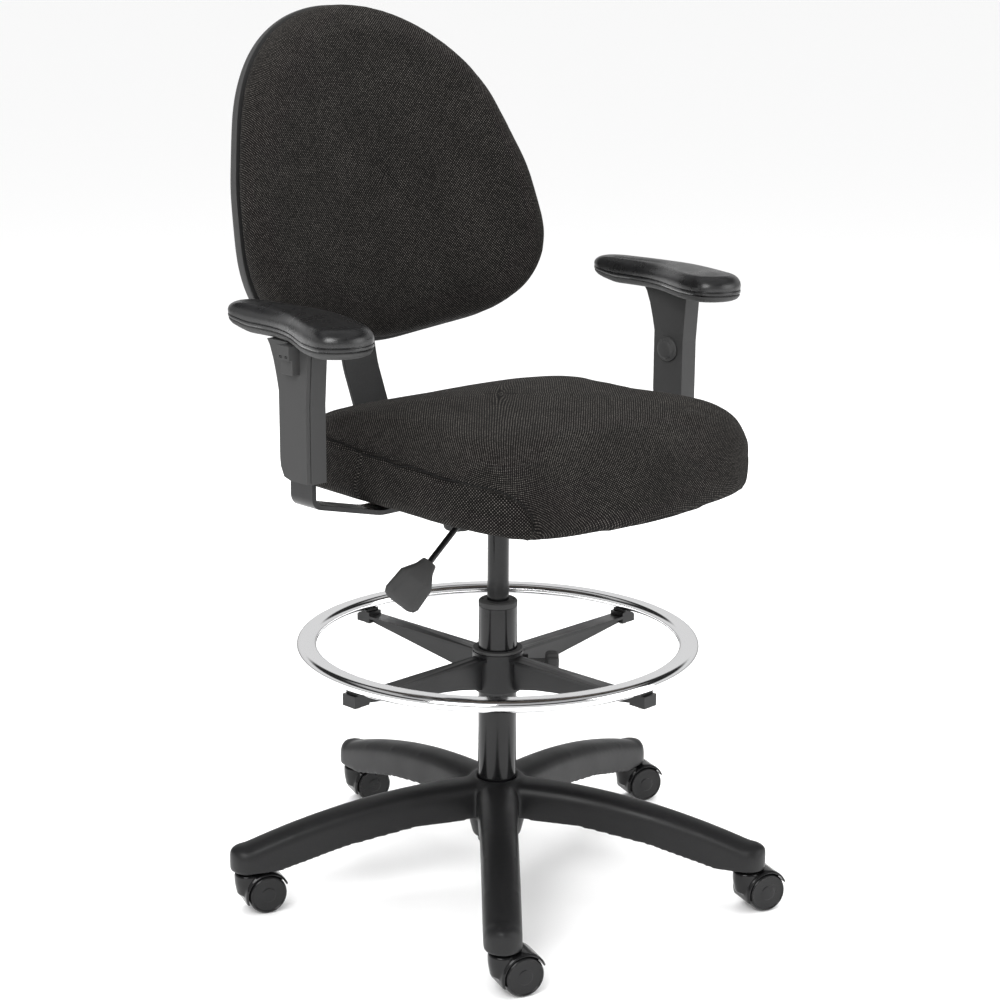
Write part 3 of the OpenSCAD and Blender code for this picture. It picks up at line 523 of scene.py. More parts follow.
@dataclass(frozen=True)
class WovenCloth:
    """Charcoal upholstery cloth: a close weave whose raised threads are flecked with grey."""

    name: str = "charcoal_weave"
    thread: float = 0.0020
    # near black of the weave's hollows and lower threads: painted shade
    dark: tuple[float, float, float] = (0.0022, 0.0020, 0.0019)
    fleck: tuple[float, float, float] = (0.150, 0.138, 0.127)
    depth: float = 0.0004

    def build(self) -> bpy.types.Material:
        """The material. With u, v counted in threads, the weave is sin(pi u) sin(pi v): its crests are the
        threads on top and its hollows, raised by a tenth as much, the ones below. A random number for each crossing
        sets how light its fleck is. The grey fleck is the yarn's own; its fading to near black towards the hollows
        and on the threads below is painted shade."""
        tree = Tree(self.name, self.dark, 0.93)
        flat = tree.put("UVMap", {}, uv_map="weave")
        drift = tree.put("TexNoise", {"Vector": flat, "Scale": 55.0, "Detail": 2.0}, output="Color")
        shift = tree.put("VectorMath", {0: drift, 1: (0.0012, 0.0012, 0.0)}, operation="MULTIPLY")
        moved = tree.put("VectorMath", {0: flat, 1: shift}, operation="ADD")
        size = 1.0 / self.thread
        counted = tree.put("VectorMath", {0: moved, 1: (size, size, 0.0)}, operation="MULTIPLY")
        split = self.split(tree, counted)
        crest = tree.sum("MULTIPLY", *[tree.sum("SINE", tree.sum("MULTIPLY", s, math.pi)) for s in split])
        height = tree.sum("MAXIMUM", crest, tree.sum("MULTIPLY", crest, -0.10))
        cell = tree.put("VectorMath", {0: counted}, operation="FLOOR")
        chance = tree.put("TexWhiteNoise", {"Vector": cell}, noise_dimensions="2D")
        lit = tree.spread(chance, 0.0, 1.0, 0.35, 1.0)
        share = tree.sum("MULTIPLY", lit, tree.sum("POWER", height, 1.9))
        slow = tree.spread(tree.noise(0.05, 3.0), 0.3, 0.7, 0.8, 1.15)
        # painted shade: near black in the weave's hollows and on the lower threads, the yarn's grey fleck on the
        # crests
        tree.tint(tree.sum("MULTIPLY", share, slow), self.dark, self.fleck)
        fuzz = tree.put("TexNoise", {"Vector": flat, "Scale": 2600.0, "Detail": 2.0})
        tree.relief(tree.sum("ADD", height, tree.sum("MULTIPLY", fuzz, 0.35)), self.depth, 0.8)
        tree.shader.inputs["Sheen Weight"].default_value = 0.03
        tree.shader.inputs["Sheen Roughness"].default_value = 0.4
        tree.shader.inputs["Sheen Tint"].default_value = (0.6, 0.58, 0.55, 1.0)
        tree.shader.inputs["Specular IOR Level"].default_value = 0.1
        return tree.material

    @staticmethod
    def split(tree: Tree, vector: bpy.types.NodeSocket) -> tuple[bpy.types.NodeSocket, bpy.types.NodeSocket]:
        """The first two numbers of a vector output."""
        node = tree.nodes.new("ShaderNodeSeparateXYZ")
        tree.links.new(vector, node.inputs[0])
        return node.outputs[0], node.outputs[1]


@dataclass(frozen=True)
class GrainedUrethane:
    """Satin arm pad skin with a fine leather grain."""

    name: str = "pad_urethane"
    colour: tuple[float, float, float] = (0.0060, 0.0060, 0.0063)
    roughness: float = 0.27
    grain: float = 0.0014

    def build(self) -> bpy.types.Material:
        """The material: small cells with creases between them, painted shade that darkens the creases, and slow
        changes of gloss.
        """
        tree = Tree(self.name, self.colour, self.roughness)
        wander = tree.put("TexNoise", {"Vector": tree.where, "Scale": 90.0}, output="Color")
        bent = tree.put("VectorMath", {0: wander, 1: (0.002, 0.002, 0.002)}, operation="MULTIPLY")
        place = tree.put("VectorMath", {0: tree.where, 1: bent}, operation="ADD")
        cells = {"Vector": place, "Scale": 1.0 / self.grain}
        edge = tree.put("TexVoronoi", cells, output="Distance", feature="DISTANCE_TO_EDGE")
        crease = tree.spread(edge, 0.0, 0.22, 0.0, 1.0)
        tree.relief(crease, 0.00005, 0.7)
        slow = tree.noise(0.03, 3.0)
        tree.gloss(tree.spread(slow, 0.3, 0.7, self.roughness - 0.04, self.roughness + 0.07))
        # painted shade: colour darker in the creases between the grain's cells, lighter in their middles, varied at
        # random by slow noise
        tree.tint(tree.sum("MULTIPLY", crease, slow), self.colour, (0.012, 0.012, 0.0125))
        tree.shader.inputs["Specular IOR Level"].default_value = 0.6
        return tree.material


@dataclass(frozen=True)
class PaintedSteel:
    """Black powder paint on steel, with a faint orange peel."""

    name: str
    colour: tuple[float, float, float] = (0.0060, 0.0060, 0.0065)
    roughness: float = 0.3
    peel: float = 0.0022

    def build(self) -> bpy.types.Material:
        """The material: peel in the relief and in the gloss, and a painted highlight that lightens the peel's raised
        crests.
        """
        tree = Tree(self.name, self.colour, self.roughness)
        peel = tree.noise(self.peel, 2.0)
        tree.relief(peel, 0.00005, 0.5)
        slow = tree.noise(0.04, 3.0)
        tree.gloss(tree.spread(slow, 0.3, 0.7, self.roughness - 0.04, self.roughness + 0.07))
        # painted highlight: colour up to 1.8 times lighter on the orange peel's raised crests
        tree.tint(tree.spread(peel, 0.5, 0.75, 0.0, 1.0), self.colour, tuple(c * 1.8 for c in self.colour))
        tree.shader.inputs["Specular IOR Level"].default_value = 0.3
        tree.shader.inputs["Coat Weight"].default_value = 0.05
        tree.shader.inputs["Coat Roughness"].default_value = 0.2
        return tree.material


@dataclass(frozen=True)
class BrightMetal:
    """Chromed or zinc-plated steel, told apart by colour and roughness."""

    name: str
    colour: tuple[float, float, float]
    roughness: float
    brushed: float = 0.0

    def build(self) -> bpy.types.Material:
        """The material: metal whose gloss drifts a little, with fine lines if it is brushed."""
        tree = Tree(self.name, self.colour, self.roughness)
        tree.shader.inputs["Metallic"].default_value = 1.0
        haze = tree.noise(0.02, 4.0)
        tree.gloss(tree.spread(haze, 0.3, 0.75, self.roughness * 0.7, self.roughness * 1.5))
        tree.tint(haze, tuple(c * 0.94 for c in self.colour), self.colour)
        if self.brushed:
            tree.relief(tree.noise(self.brushed, 2.0), 0.00001, 0.4)
        return tree.material


@dataclass(frozen=True)
class StainedPly:
    """The plywood seat board, stained black."""

    name: str = "stained_ply"
    colour: tuple[float, float, float] = (0.03, 0.026, 0.022)

    def build(self) -> bpy.types.Material:
        """The material: noise drawn out along Y as grain, in colour and in relief."""
        tree = Tree(self.name, self.colour, 0.7)
        long = tree.put("Mapping", {"Vector": tree.where, "Scale": (1.0, 0.06, 1.0)})
        grain = tree.noise(0.0025, 4.0, where=long)
        tree.tint(grain, (0.016, 0.013, 0.011), (0.07, 0.055, 0.042))
        tree.relief(grain, 0.0001, 0.5)
        return tree.material


class Finish(Enum):
    """The finishes of the chair. Each value gives the material and the frame's slot that it stands for."""

    CLOTH = (WovenCloth(), "fabric")
    # painted shadow: the near-black line laid in the seat's seam groove
    THREAD = (MouldedPlastic("seam_thread", (0.0016, 0.0015, 0.0014), 0.85, 0.0005, 0.00008), "fabric")
    PAD = (GrainedUrethane(), "urethane")
    NYLON = (MouldedPlastic("base_nylon", (0.0066, 0.0066, 0.0070), 0.42, 0.0011, 0.00011), "nylon")
    MOULDED = (MouldedPlastic("moulded_black", (0.0048, 0.0048, 0.0051), 0.36, 0.0007, 0.00004), "moulded_black")
    SPIDER = (MouldedPlastic("spider_black", (0.0062, 0.0062, 0.0066), 0.34, 0.0009, 0.00005), "spider")
    HOOD = (MouldedPlastic("caster_hood", (0.0045, 0.0045, 0.0048), 0.16, 0.003, 0.00001), "nylon")
    WHEEL = (MouldedPlastic("caster_wheel", (0.0060, 0.0060, 0.0063), 0.24, 0.002, 0.00001), "wheel")
    STEEL = (PaintedSteel("painted_steel"), "black_steel")
    TUBE = (PaintedSteel("column_paint", (0.0040, 0.0040, 0.0043), 0.16, 0.009), "black_steel")
    CHROME = (BrightMetal("chrome", (0.86, 0.87, 0.88), 0.045), "chrome")
    ZINC = (BrightMetal("zinc_plate", (0.62, 0.62, 0.6), 0.32, 0.0006), "zinc_steel")
    BOARD = (StainedPly(), "board")

    def material(self) -> bpy.types.Material:
        """The material, built the first time that it is asked for."""
        look, _ = self.value
        return bpy.data.materials.get(look.name) or look.build()


# ---------- the frame ----------


class Frame:
    """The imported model, and the few things that are asked of it."""

    def __init__(self) -> None:
        """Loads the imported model."""
        self.nodes: dict[str, bpy.types.Object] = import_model()["nodes"]

    def corners(self, node: str) -> tuple[np.ndarray, np.ndarray]:
        """Lowest and highest corner of a node."""
        low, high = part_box(node)
        return np.array(low), np.array(high)

    def middle(self, node: str) -> np.ndarray:
        """Middle of a node's box."""
        low, high = self.corners(node)
        return (low + high) / 2.0

    def settle(self, piece: bpy.types.Object, finish: Finish, *nodes: str) -> bpy.types.Object:
        """Dresses a finished piece and puts it on its body in place of its CAD nodes.

        Args:
            piece: The new piece.
            finish: What it is dressed in.
            *nodes: The nodes it stands for; it rides on the body of the first.

        Returns:
            The piece.
        """
        piece.data.materials.clear()
        piece.data.materials.append(finish.material())
        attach(piece, body_of(self.nodes[nodes[0]])[0])
        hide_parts(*nodes)
        LOG.info("%s: %d faces, in place of %s", piece.name, len(piece.data.polygons), ", ".join(nodes))
        return piece

    def dress(self, finish: Finish, *nodes: str) -> None:
        """Puts a finish on nodes that stay as they are."""
        for node in nodes:
            mesh = self.nodes[node].data
            mesh.materials.clear()
            mesh.materials.append(finish.material())
            LOG.info("%s: kept, in %s", node, finish.value[0].name)

    def ease(self, node: str, finish: Finish, width: float, segments: int = 2) -> bpy.types.Object:
        """A copy of a node with its edges eased, in place of the node.

        Args:
            node: The node.
            finish: What the copy is dressed in.
            width: Width of the eased edge.
            segments: Facets across the eased edge.

        Returns:
            The copy.
        """
        mesh = self.nodes[node].data.copy()
        work = bmesh.new()
        work.from_mesh(mesh)
        bmesh.ops.remove_doubles(work, verts=work.verts, dist=2e-6)
        bmesh.ops.dissolve_limit(work, angle_limit=math.radians(0.5), verts=work.verts, edges=work.edges)
        work.to_mesh(mesh)
        work.free()
        shade(mesh, 30.0)
        piece = new_object(node + "_eased", mesh)
        bevel = piece.modifiers.new("eased", "BEVEL")
        bevel.width = width
        bevel.segments = segments
        bevel.limit_method = "ANGLE"
        bevel.angle_limit = math.radians(30.0)
        bevel.harden_normals = True
        return self.settle(piece, finish, node)


# ---------- padded work ----------


@dataclass
class Padding:
    """How a cushion is blown up from its cut shape."""

    voxel: float = 0.005
    pressure: float = 4.0
    rise: float = 0.006
    frames: int = 20
    relax: int = 24

    def fill(self, obj: bpy.types.Object, held: Callable[[np.ndarray], np.ndarray]) -> None:
        """Remeshes a cushion, swells it as pressed cloth, and subdivides it once.

        Args:
            obj: The cushion, changed in place.
            held: A function of the points that is true where the cloth is fixed to its board.
        """
        weld_shapes(obj, self.voxel, 4)
        rest = points_of(obj)
        move = self.swell(obj, held(rest)) - rest
        far = np.linalg.norm(move, axis=1, keepdims=True)
        set_points(obj, rest + move * np.minimum(1.0, self.rise / np.maximum(far, 1e-9)))
        add_relax(obj, self.relax)
        finer = obj.modifiers.new("finer", "SUBSURF")
        finer.levels = finer.render_levels = 1
        settle_modifiers(obj)
        shade(obj.data, 180.0)

    def swell(self, obj: bpy.types.Object, fixed: np.ndarray) -> np.ndarray:
        """Runs the cloth for its frames and gives the points where they end up.

        Args:
            obj: The cushion.
            fixed: True for each point that is held.

        Returns:
            The points at the last frame, (n, 3).
        """
        scene = bpy.context.scene
        cloth = obj.modifiers.new("cloth", "CLOTH")
        cloth.settings.quality = 4
        cloth.settings.use_pressure = True
        cloth.settings.uniform_pressure_force = self.pressure
        cloth.settings.effector_weights.gravity = 0.0
        cloth.point_cache.frame_start = 1
        cloth.point_cache.frame_end = self.frames
        group = obj.vertex_groups.new(name="held")
        group.add(np.flatnonzero(fixed).tolist(), 1.0, "REPLACE")
        cloth.settings.vertex_group_mass = "held"
        for frame in range(1, self.frames + 1):
            scene.frame_set(frame)
        graph = bpy.context.evaluated_depsgraph_get()
        made = obj.evaluated_get(graph).data
        flat = np.empty(len(made.vertices) * 3)
        made.vertices.foreach_get("co", flat)
        obj.modifiers.remove(cloth)
        obj.vertex_groups.clear()
        scene.frame_set(1)
        return flat.reshape(-1, 3)


def snap_line(obj: bpy.types.Object, line: np.ndarray, pitch: float) -> np.ndarray:
    """Lays a line onto an object: it is spaced evenly, and each point goes to the nearest point of the mesh,
    then to the mean of its neighbours.

    Args:
        obj: The object.
        line: The line's corners, (n, 3).
        pitch: Spacing along the line.

    Returns:
        The laid line, (m, 3).
    """
    steps = np.concatenate([[0.0], np.cumsum(np.linalg.norm(np.diff(line, axis=0), axis=1))])
    wanted = np.arange(0.0, steps[-1], pitch)
    even = np.stack([np.interp(wanted, steps, line[:, k]) for k in range(3)], -1)
    points = points_of(obj)
    tree = kdtree.KDTree(len(points))
    for index, point in enumerate(points):
        tree.insert(point, index)
    tree.balance()
    return relaxed(points[[tree.find(spot)[1] for spot in even]], 14)


def distance_to_line(points: np.ndarray, line: np.ndarray) -> np.ndarray:
    """Distance from each point to the nearest place on a line: for each segment a to b, the share
    ((p - a) . (b - a)) / |b - a|^2 kept between 0 and 1 gives the nearest place."""
    best = np.full(len(points), np.inf)
    for a, b in zip(line[:-1], line[1:]):
        span = b - a
        share = np.clip((points - a) @ span / max(span @ span, 1e-12), 0.0, 1.0)
        best = np.minimum(best, np.linalg.norm(points - a - share[:, None] * span, axis=1))
    return best


def sew(obj: bpy.types.Object, line: np.ndarray, depth: float, width: float) -> None:
    """Draws a seam in: the surface sinks by depth * exp(-(d / width)^2) at a distance d from the line, and
    stands proud by 0.35 of that on each side.

    Args:
        obj: The cushion.
        line: The laid line, (n, 3).
        depth: Depth of the seam.
        width: Half its width.
    """
    points = points_of(obj)
    low, high = line.min(0) - 6 * width, line.max(0) + 6 * width
    near = np.all((points > low) & (points < high), axis=1)
    d = np.full(len(points), np.inf)
    d[near] = distance_to_line(points[near], line)
    sink = -depth * np.exp(-((d / width) ** 2))
    puff = 0.35 * depth * np.exp(-(((d - 2.6 * width) / (1.4 * width)) ** 2))
    set_points(obj, points + normals_of(obj) * (sink + puff)[:, None])


# ---------- base and casters ----------


@dataclass
class StarBase:
    """Five moulded legs arched out from a hub, hollow and ribbed below."""

    reach: float = 0.333
    turn: float = math.radians(-132.5)
    legs: int = 5
    hub_radius: float = 0.040
    bore: float = 0.0252
    hub_top: float = 0.143
    end_low: float = 0.056
    end_height: float = 0.034
    half_width: float = 0.023
    hub_half_width: float = 0.0265
    bulge: float = 0.016
    side_height: float = 0.045
    crown: float = 0.020
    wall: float = 0.0055
    voxel: float = 0.0024

    def top(self, r: np.ndarray) -> np.ndarray:
        """Height of the top of a leg: a straight fall, plus 4 * bulge * t * (1 - t) with t the share of the reach."""
        t = np.clip(r / self.reach, 0.0, 1.0)
        start, end = self.hub_top - 0.003, self.end_low + self.end_height
        return start - (start - end) * t + 4.0 * self.bulge * t * (1.0 - t)

    def bottom(self, r: np.ndarray) -> np.ndarray:
        """Height of the lower edge: a side's height below the top, running down to the pad over the caster."""
        rim = self.reach - self.half_width * 1.5
        stops = np.array([0.0, rim * 0.4, rim * 0.7, rim, rim + 0.004, self.reach * 2.0])
        heights = self.top(stops) - self.side_height
        heights[3:] = self.end_low
        return np.maximum(np.interp(r, stops, heights), self.end_low)

    def half_ring(self, half: np.ndarray, low: np.ndarray, high: np.ndarray, crown: np.ndarray) -> np.ndarray:
        """Cross-sections shaped like an arch: straight sides, then |y/half|^n + |z/crown|^n = 1 over the top.

        Args:
            half: Half width of each section.
            low: Height of its lower edge.
            high: Height of its top.
            crown: Height of its rounded part.

        Returns:
            Sideways place and height, (sections, points, 2).
        """
        angle = np.linspace(0.0, np.pi, 26)
        across, over = power_loop(angle, 2.7)
        y = half[:, None] * across
        z = (high - crown)[:, None] + crown[:, None] * over
        foot = np.stack([y[:, 0], low], -1)[:, None, :]
        toe = np.stack([y[:, -1], low], -1)[:, None, :]
        return np.concatenate([foot, np.stack([y, z], -1), toe], axis=1)

    def leg(self) -> Surface:
        """One leg along +X: an arch of outer sections, closed below by an inner arch that leaves the hollow."""
        nose = np.linspace(0.0, np.pi / 2.0, 12)[1:]
        run = np.linspace(0.026, self.reach, 52)
        r = np.concatenate([run, self.reach + self.half_width * np.sin(nose)])
        widths = [self.hub_half_width, self.half_width + 0.001, self.half_width]
        half = np.interp(run, [0.03, 0.12, self.reach], widths)
        half = np.concatenate([half, self.half_width * np.maximum(np.cos(nose), 0.02)])
        high = self.top(r)
        high[len(run) :] -= 0.007 * (1.0 - np.cos(nose))
        low = self.bottom(r)
        outer = self.half_ring(half, low, high, np.minimum(self.crown, (high - low) * 0.8))
        hollow = smooth_step(r, 0.044, 0.060) * (1.0 - smooth_step(r, self.reach - 0.034, self.reach - 0.022))
        depth = np.maximum((high - self.wall - low) * hollow, 0.0005)
        inner_half = np.maximum(half - self.wall, half * 0.3)
        inner = self.half_ring(inner_half, low, low + depth, np.minimum(self.crown - self.wall, depth * 0.9))
        ring = np.concatenate([outer, inner[:, ::-1]], axis=1)
        grid = np.concatenate([np.broadcast_to(r[:, None, None], (*ring.shape[:2], 1)), ring], -1)
        made = Surface().add_grid(grid)
        for x in np.linspace(0.085, self.reach - 0.055, 4):
            spot = np.array([x])
            high_here, low_here = float(self.top(spot)[0]), float(self.bottom(spot)[0])
            made.add_block((x - 0.0018, -0.02, low_here + 0.004), (x + 0.0018, 0.02, high_here - 0.004))
        return made

    def build(self, frame: Frame) -> None:
        """Makes the base and puts it in place of its node."""
        whole = Surface()
        for k in range(self.legs):
            angle = self.turn + k * 2.0 * math.pi / self.legs
            whole.join(self.leg().moved(lambda p, a=angle: turned(p, a)))
        low = self.end_low + 0.006
        profile = rounded_line(
            [
                (self.bore, low, 0),
                (self.bore + 0.006, low, 0.001),
                (self.hub_radius, self.hub_top - self.side_height, 0.004),
                (self.hub_radius + 0.001, self.hub_top - 0.012, 0.006),
                (self.hub_radius - 0.007, self.hub_top, 0.003),
                (self.bore, self.hub_top, 0),
            ]
        )
        whole.add_grid(lathe(np.vstack([profile, profile[:1]]), 64), cap=False)
        piece = whole.piece("star_base")
        weld_shapes(piece, self.voxel, 12)
        frame.settle(piece, Finish.NYLON, "base_star")


@dataclass
class Caster:
    """A twin-wheel caster, made once about its stem and set under each leg. Trails towards +X before it is turned."""

    base: StarBase
    heading: float = math.radians(-20.0)
    trail: float = 0.020
    wheel_radius: float = 0.025
    wheel_width: float = 0.0175
    wheel_gap: float = 0.007
    hood_radius: float = 0.0292
    pocket_radius: float = 0.0262
    hood_half: float = 0.0215
    boss_radius: float = 0.018
    hood_top: float = 0.053
    cut_angle: float = math.radians(22.0)

    def on_axle(self, points: np.ndarray) -> np.ndarray:
        """Carries a shape made about Z onto the axle, its height along +Y."""
        laid = np.stack([points[..., 0], points[..., 2], points[..., 1]], -1)
        return laid + np.array([self.trail, 0.0, self.wheel_radius])

    def set_under(self, points: np.ndarray, index: int) -> np.ndarray:
        """Carries a caster from the origin to the end of a leg."""
        angle = self.base.turn + index * 2.0 * math.pi / self.base.legs
        spot = self.base.reach * np.array([math.cos(angle), math.sin(angle), 0.0])
        return turned(points, self.heading) + spot

    def drum(self, radius: float, low: float, high: float, ease: float, bore: float = 0.0) -> np.ndarray:
        """A round slab on the axle between two places across it, with its rims rounded."""
        corners = [(bore, low, 0), (radius, low, ease), (radius, high, ease), (bore, high, 0)]
        return self.on_axle(lathe(rounded_line(corners, 6), 72))

    def hood(self) -> bpy.types.Object:
        """The hood: a drum and a boss run together, with the wheel pockets and the lower half cut away."""
        half, stem = self.hood_half, self.boss_radius
        body = Surface().add_grid(self.drum(self.hood_radius, -half, half, 0.005))
        neck = rounded_line(
            [
                (0.0, 0.024, 0),
                (stem - 0.003, 0.024, 0.002),
                (stem, 0.040, 0.005),
                (stem, self.hood_top, 0.0035),
                (0.0, self.hood_top, 0),
            ]
        )
        body.add_grid(lathe(neck, 48))
        piece = body.piece("hood_master")
        weld_shapes(piece, 0.0011, 6)
        inner = self.wheel_gap / 2.0 - 0.001
        for low, high in ((inner, 0.04), (-0.04, -inner)):
            cut_away(piece, Surface().add_grid(self.drum(self.pocket_radius, low, high, 0.0)))
        wedge = Surface().add_block((-0.08, -0.05, -0.12), (0.08, 0.05, 0.0))
        wedge.moved(lambda p: turned(p, -self.cut_angle, "Y") + np.array([self.trail, 0.0, self.wheel_radius]))
        cut_away(piece, wedge)
        weld_shapes(piece, 0.0009, 3)
        return piece

    def wheels(self) -> Surface:
        """The pair of wheels: tread, rolled rim, a shallow ring in the face and a low hub."""
        r, w = self.wheel_radius, self.wheel_width
        profile = rounded_line(
            [
                (0.0, 0.0, 0),
                (r - 0.002, 0.0, 0),
                (r, 0.0015, 0.001),
                (r, w - 0.0030, 0.002),
                (r - 0.0022, w, 0.0012),
                (r - 0.0034, w, 0.0004),
                (r - 0.0042, w - 0.0010, 0.0004),
                (0.0098, w - 0.0010, 0.0006),
                (0.0086, w - 0.0003, 0.0005),
                (0.0, w - 0.0001, 0),
            ],
            4,
        )
        pair = Surface()
        for side in (1.0, -1.0):
            one = lathe(profile, 72)
            one[..., 2] = side * (one[..., 2] + self.wheel_gap / 2.0)
            pair.add_grid(self.on_axle(one))
        return pair

    def build(self, frame: Frame) -> None:
        """Makes the hood once and sets a caster under each leg."""
        master = self.hood()
        for k in range(self.base.legs):
            name = f"caster_{k + 1}"
            hood = new_object(name + "_shroud", master.data.copy())
            set_points(hood, self.set_under(points_of(hood), k))
            frame.settle(hood, Finish.HOOD, name + "_hood")
            wheels = self.wheels().moved(lambda p, n=k: self.set_under(p, n)).piece(name + "_wheel_pair", 28.0)
            frame.settle(wheels, Finish.WHEEL, name + "_wheels")
            frame.dress(Finish.ZINC, name + "_stem", name + "_axle")
        bpy.data.objects.remove(master)


# ---------- column, foot ring and knobs ----------


@dataclass
class FootRing:
    """The chromed foot ring, its spider, saddles and collet."""

    outer: float = 0.259
    width: float = 0.028
    thick: float = 0.015

    def build(self, frame: Frame) -> None:
        """Makes the ring: a stadium section carried round the column, and eases the parts under it."""
        low, high = frame.corners("foot_ring")
        mid = self.outer - self.width / 2.0
        edge = (self.width - self.thick) / 2.0
        angle = np.linspace(-np.pi / 2.0, np.pi / 2.0, 15)
        bow = np.stack([np.cos(angle), np.sin(angle)], -1) * self.thick / 2.0
        section = np.vstack([bow + [edge, 0.0], bow[::-1] * [-1.0, 1.0] - [edge, 0.0]])
        profile = section + [mid, (low[2] + high[2]) / 2.0]
        grid = lathe(np.vstack([profile, profile[:1]]), 192)
        ring = Surface().add_grid(grid, cap=False).piece("chrome_ring", 60.0)
        frame.settle(ring, Finish.CHROME, "foot_ring")
        frame.ease("ring_spider", Finish.SPIDER, 0.0012)
        frame.ease("ring_saddles", Finish.MOULDED, 0.0004)
        frame.ease("ring_collet", Finish.MOULDED, 0.0006)
        frame.dress(Finish.ZINC, "ring_screws")


@dataclass
class HandKnob:
    """A fluted hand knob with its screw, made along +Z from the screw's tip."""

    radius: float
    height: float
    flutes: int
    screw: float = 0.0039

    def build(self, frame: Frame, node: str, tip: np.ndarray, face: np.ndarray) -> None:
        """Makes a knob in place of its node. The rim's radius is R * (1 - 0.13 * (0.5 + 0.5 cos(n a))^2).

        Args:
            frame: The frame.
            node: The knob's node.
            tip: Tip of its screw.
            face: Middle of the knob's inner face; the knob stands off from there, away from the tip.
        """
        profile = rounded_line(
            [
                (0.0, 0.0, 0),
                (self.radius * 0.72, 0.0, 0.001),
                (self.radius, self.height * 0.14, 0.003),
                (self.radius, self.height * 0.80, 0.004),
                (self.radius * 0.80, self.height, 0.003),
                (self.radius * 0.55, self.height * 0.97, 0.002),
                (0.0, self.height * 0.99, 0),
            ],
            6,
        )
        grid = lathe(profile, self.flutes * 16)
        angle = np.arctan2(grid[..., 1], grid[..., 0])
        deep = smooth_step(np.hypot(grid[..., 0], grid[..., 1]), self.radius * 0.5, self.radius)
        scallop = 1.0 - 0.13 * deep * (0.5 + 0.5 * np.cos(self.flutes * angle)) ** 2
        grid[..., :2] *= scallop[..., None]
        way = (face - tip) / np.linalg.norm(face - tip)
        length = float(np.linalg.norm(face - tip))
        outline = [(0.0, -length, 0), (self.screw, -length, 0.001), (self.screw, 0.002, 0), (0.0, 0.002, 0)]
        shaft = lathe(rounded_line(outline), 24)
        matrix = np.array(Vector(way).to_track_quat("Z", "X").to_matrix()).T
        made = Surface().add_grid(grid).add_grid(shaft).moved(lambda p: p @ matrix + face)
        frame.settle(made.piece(node + "_grip", 50.0), Finish.MOULDED, node)


@dataclass
class Lever:
    """The height lever: a bent rod with a moulded paddle on its end."""

    rod: float = 0.004
    slope: float = math.radians(39.0)
    knee_x: float = -0.034
    reach: float = 0.127
    paddle: float = 0.060
    roll: float = math.radians(-49.0)

    def build(self, frame: Frame) -> None:
        """Makes the rod along its bent path, and the paddle as rounded sections along its end."""
        _, high = frame.corners("lever_rod")
        tip = np.array([high[0] - 0.0005, 0.0, high[2] - self.rod])
        knee = np.array([self.knee_x, 0.0, high[2] - self.rod - 0.005])
        way = np.array([-math.cos(self.slope), 0.0, -math.sin(self.slope)])
        bend = curve(tip * 0.45 + knee * 0.55, knee, knee + way * 0.016, 14)
        path = np.vstack([tip, tip * 0.8 + knee * 0.2, bend, knee + way * self.reach * 0.6, knee + way * self.reach])
        side = np.array([0.0, 1.0, 0.0])
        rod = Surface().add_grid(tube(path, np.full(len(path), self.rod), side, 20))
        frame.settle(rod.piece("lever_bar", 50.0), Finish.STEEL, "lever_rod")
        frame.settle(self.grip(knee, way), Finish.MOULDED, "lever_paddle")

    def grip(self, knee: np.ndarray, way: np.ndarray) -> bpy.types.Object:
        """The paddle: |a|^n + |b|^n = 1 sections, wide and thin towards the end, with a groove down each face."""
        along = np.linspace(0.0, 1.0, 44)
        size = np.interp(along, [0.0, 0.16, 0.42, 0.86, 0.95, 1.0], [0.010, 0.013, 0.0235, 0.025, 0.0225, 0.016])
        thick = np.interp(along, [0.0, 0.2, 0.45, 0.86, 0.96, 1.0], [0.0085, 0.0095, 0.010, 0.0068, 0.0055, 0.003])
        angle = np.linspace(0.0, 2.0 * np.pi, 64, endpoint=False)
        a, b = power_loop(angle, 3.2)
        middle = smooth_step(along, 0.32, 0.44) * (1.0 - smooth_step(along, 0.82, 0.92))
        groove = np.exp(-(((np.abs(a)[None, :] - 0.52) / 0.07) ** 2)) * middle[:, None] * 0.0014
        across = size[:, None] * a
        deep = thick[:, None] * b - np.sign(b) * groove
        side = np.array([0.0, 1.0, 0.0])
        third = np.cross(way, side)
        wide = math.cos(self.roll) * side + math.sin(self.roll) * third
        flat = np.cross(way, wide)
        reach = knee[None, :] + way[None, :] * (self.reach - 0.018 + along * (self.paddle + 0.006))[:, None]
        grid = reach[:, None, :] + across[..., None] * wide + deep[..., None] * flat
        return Surface().add_grid(grid).piece("lever_grip", 45.0)


# ---------- seat ----------


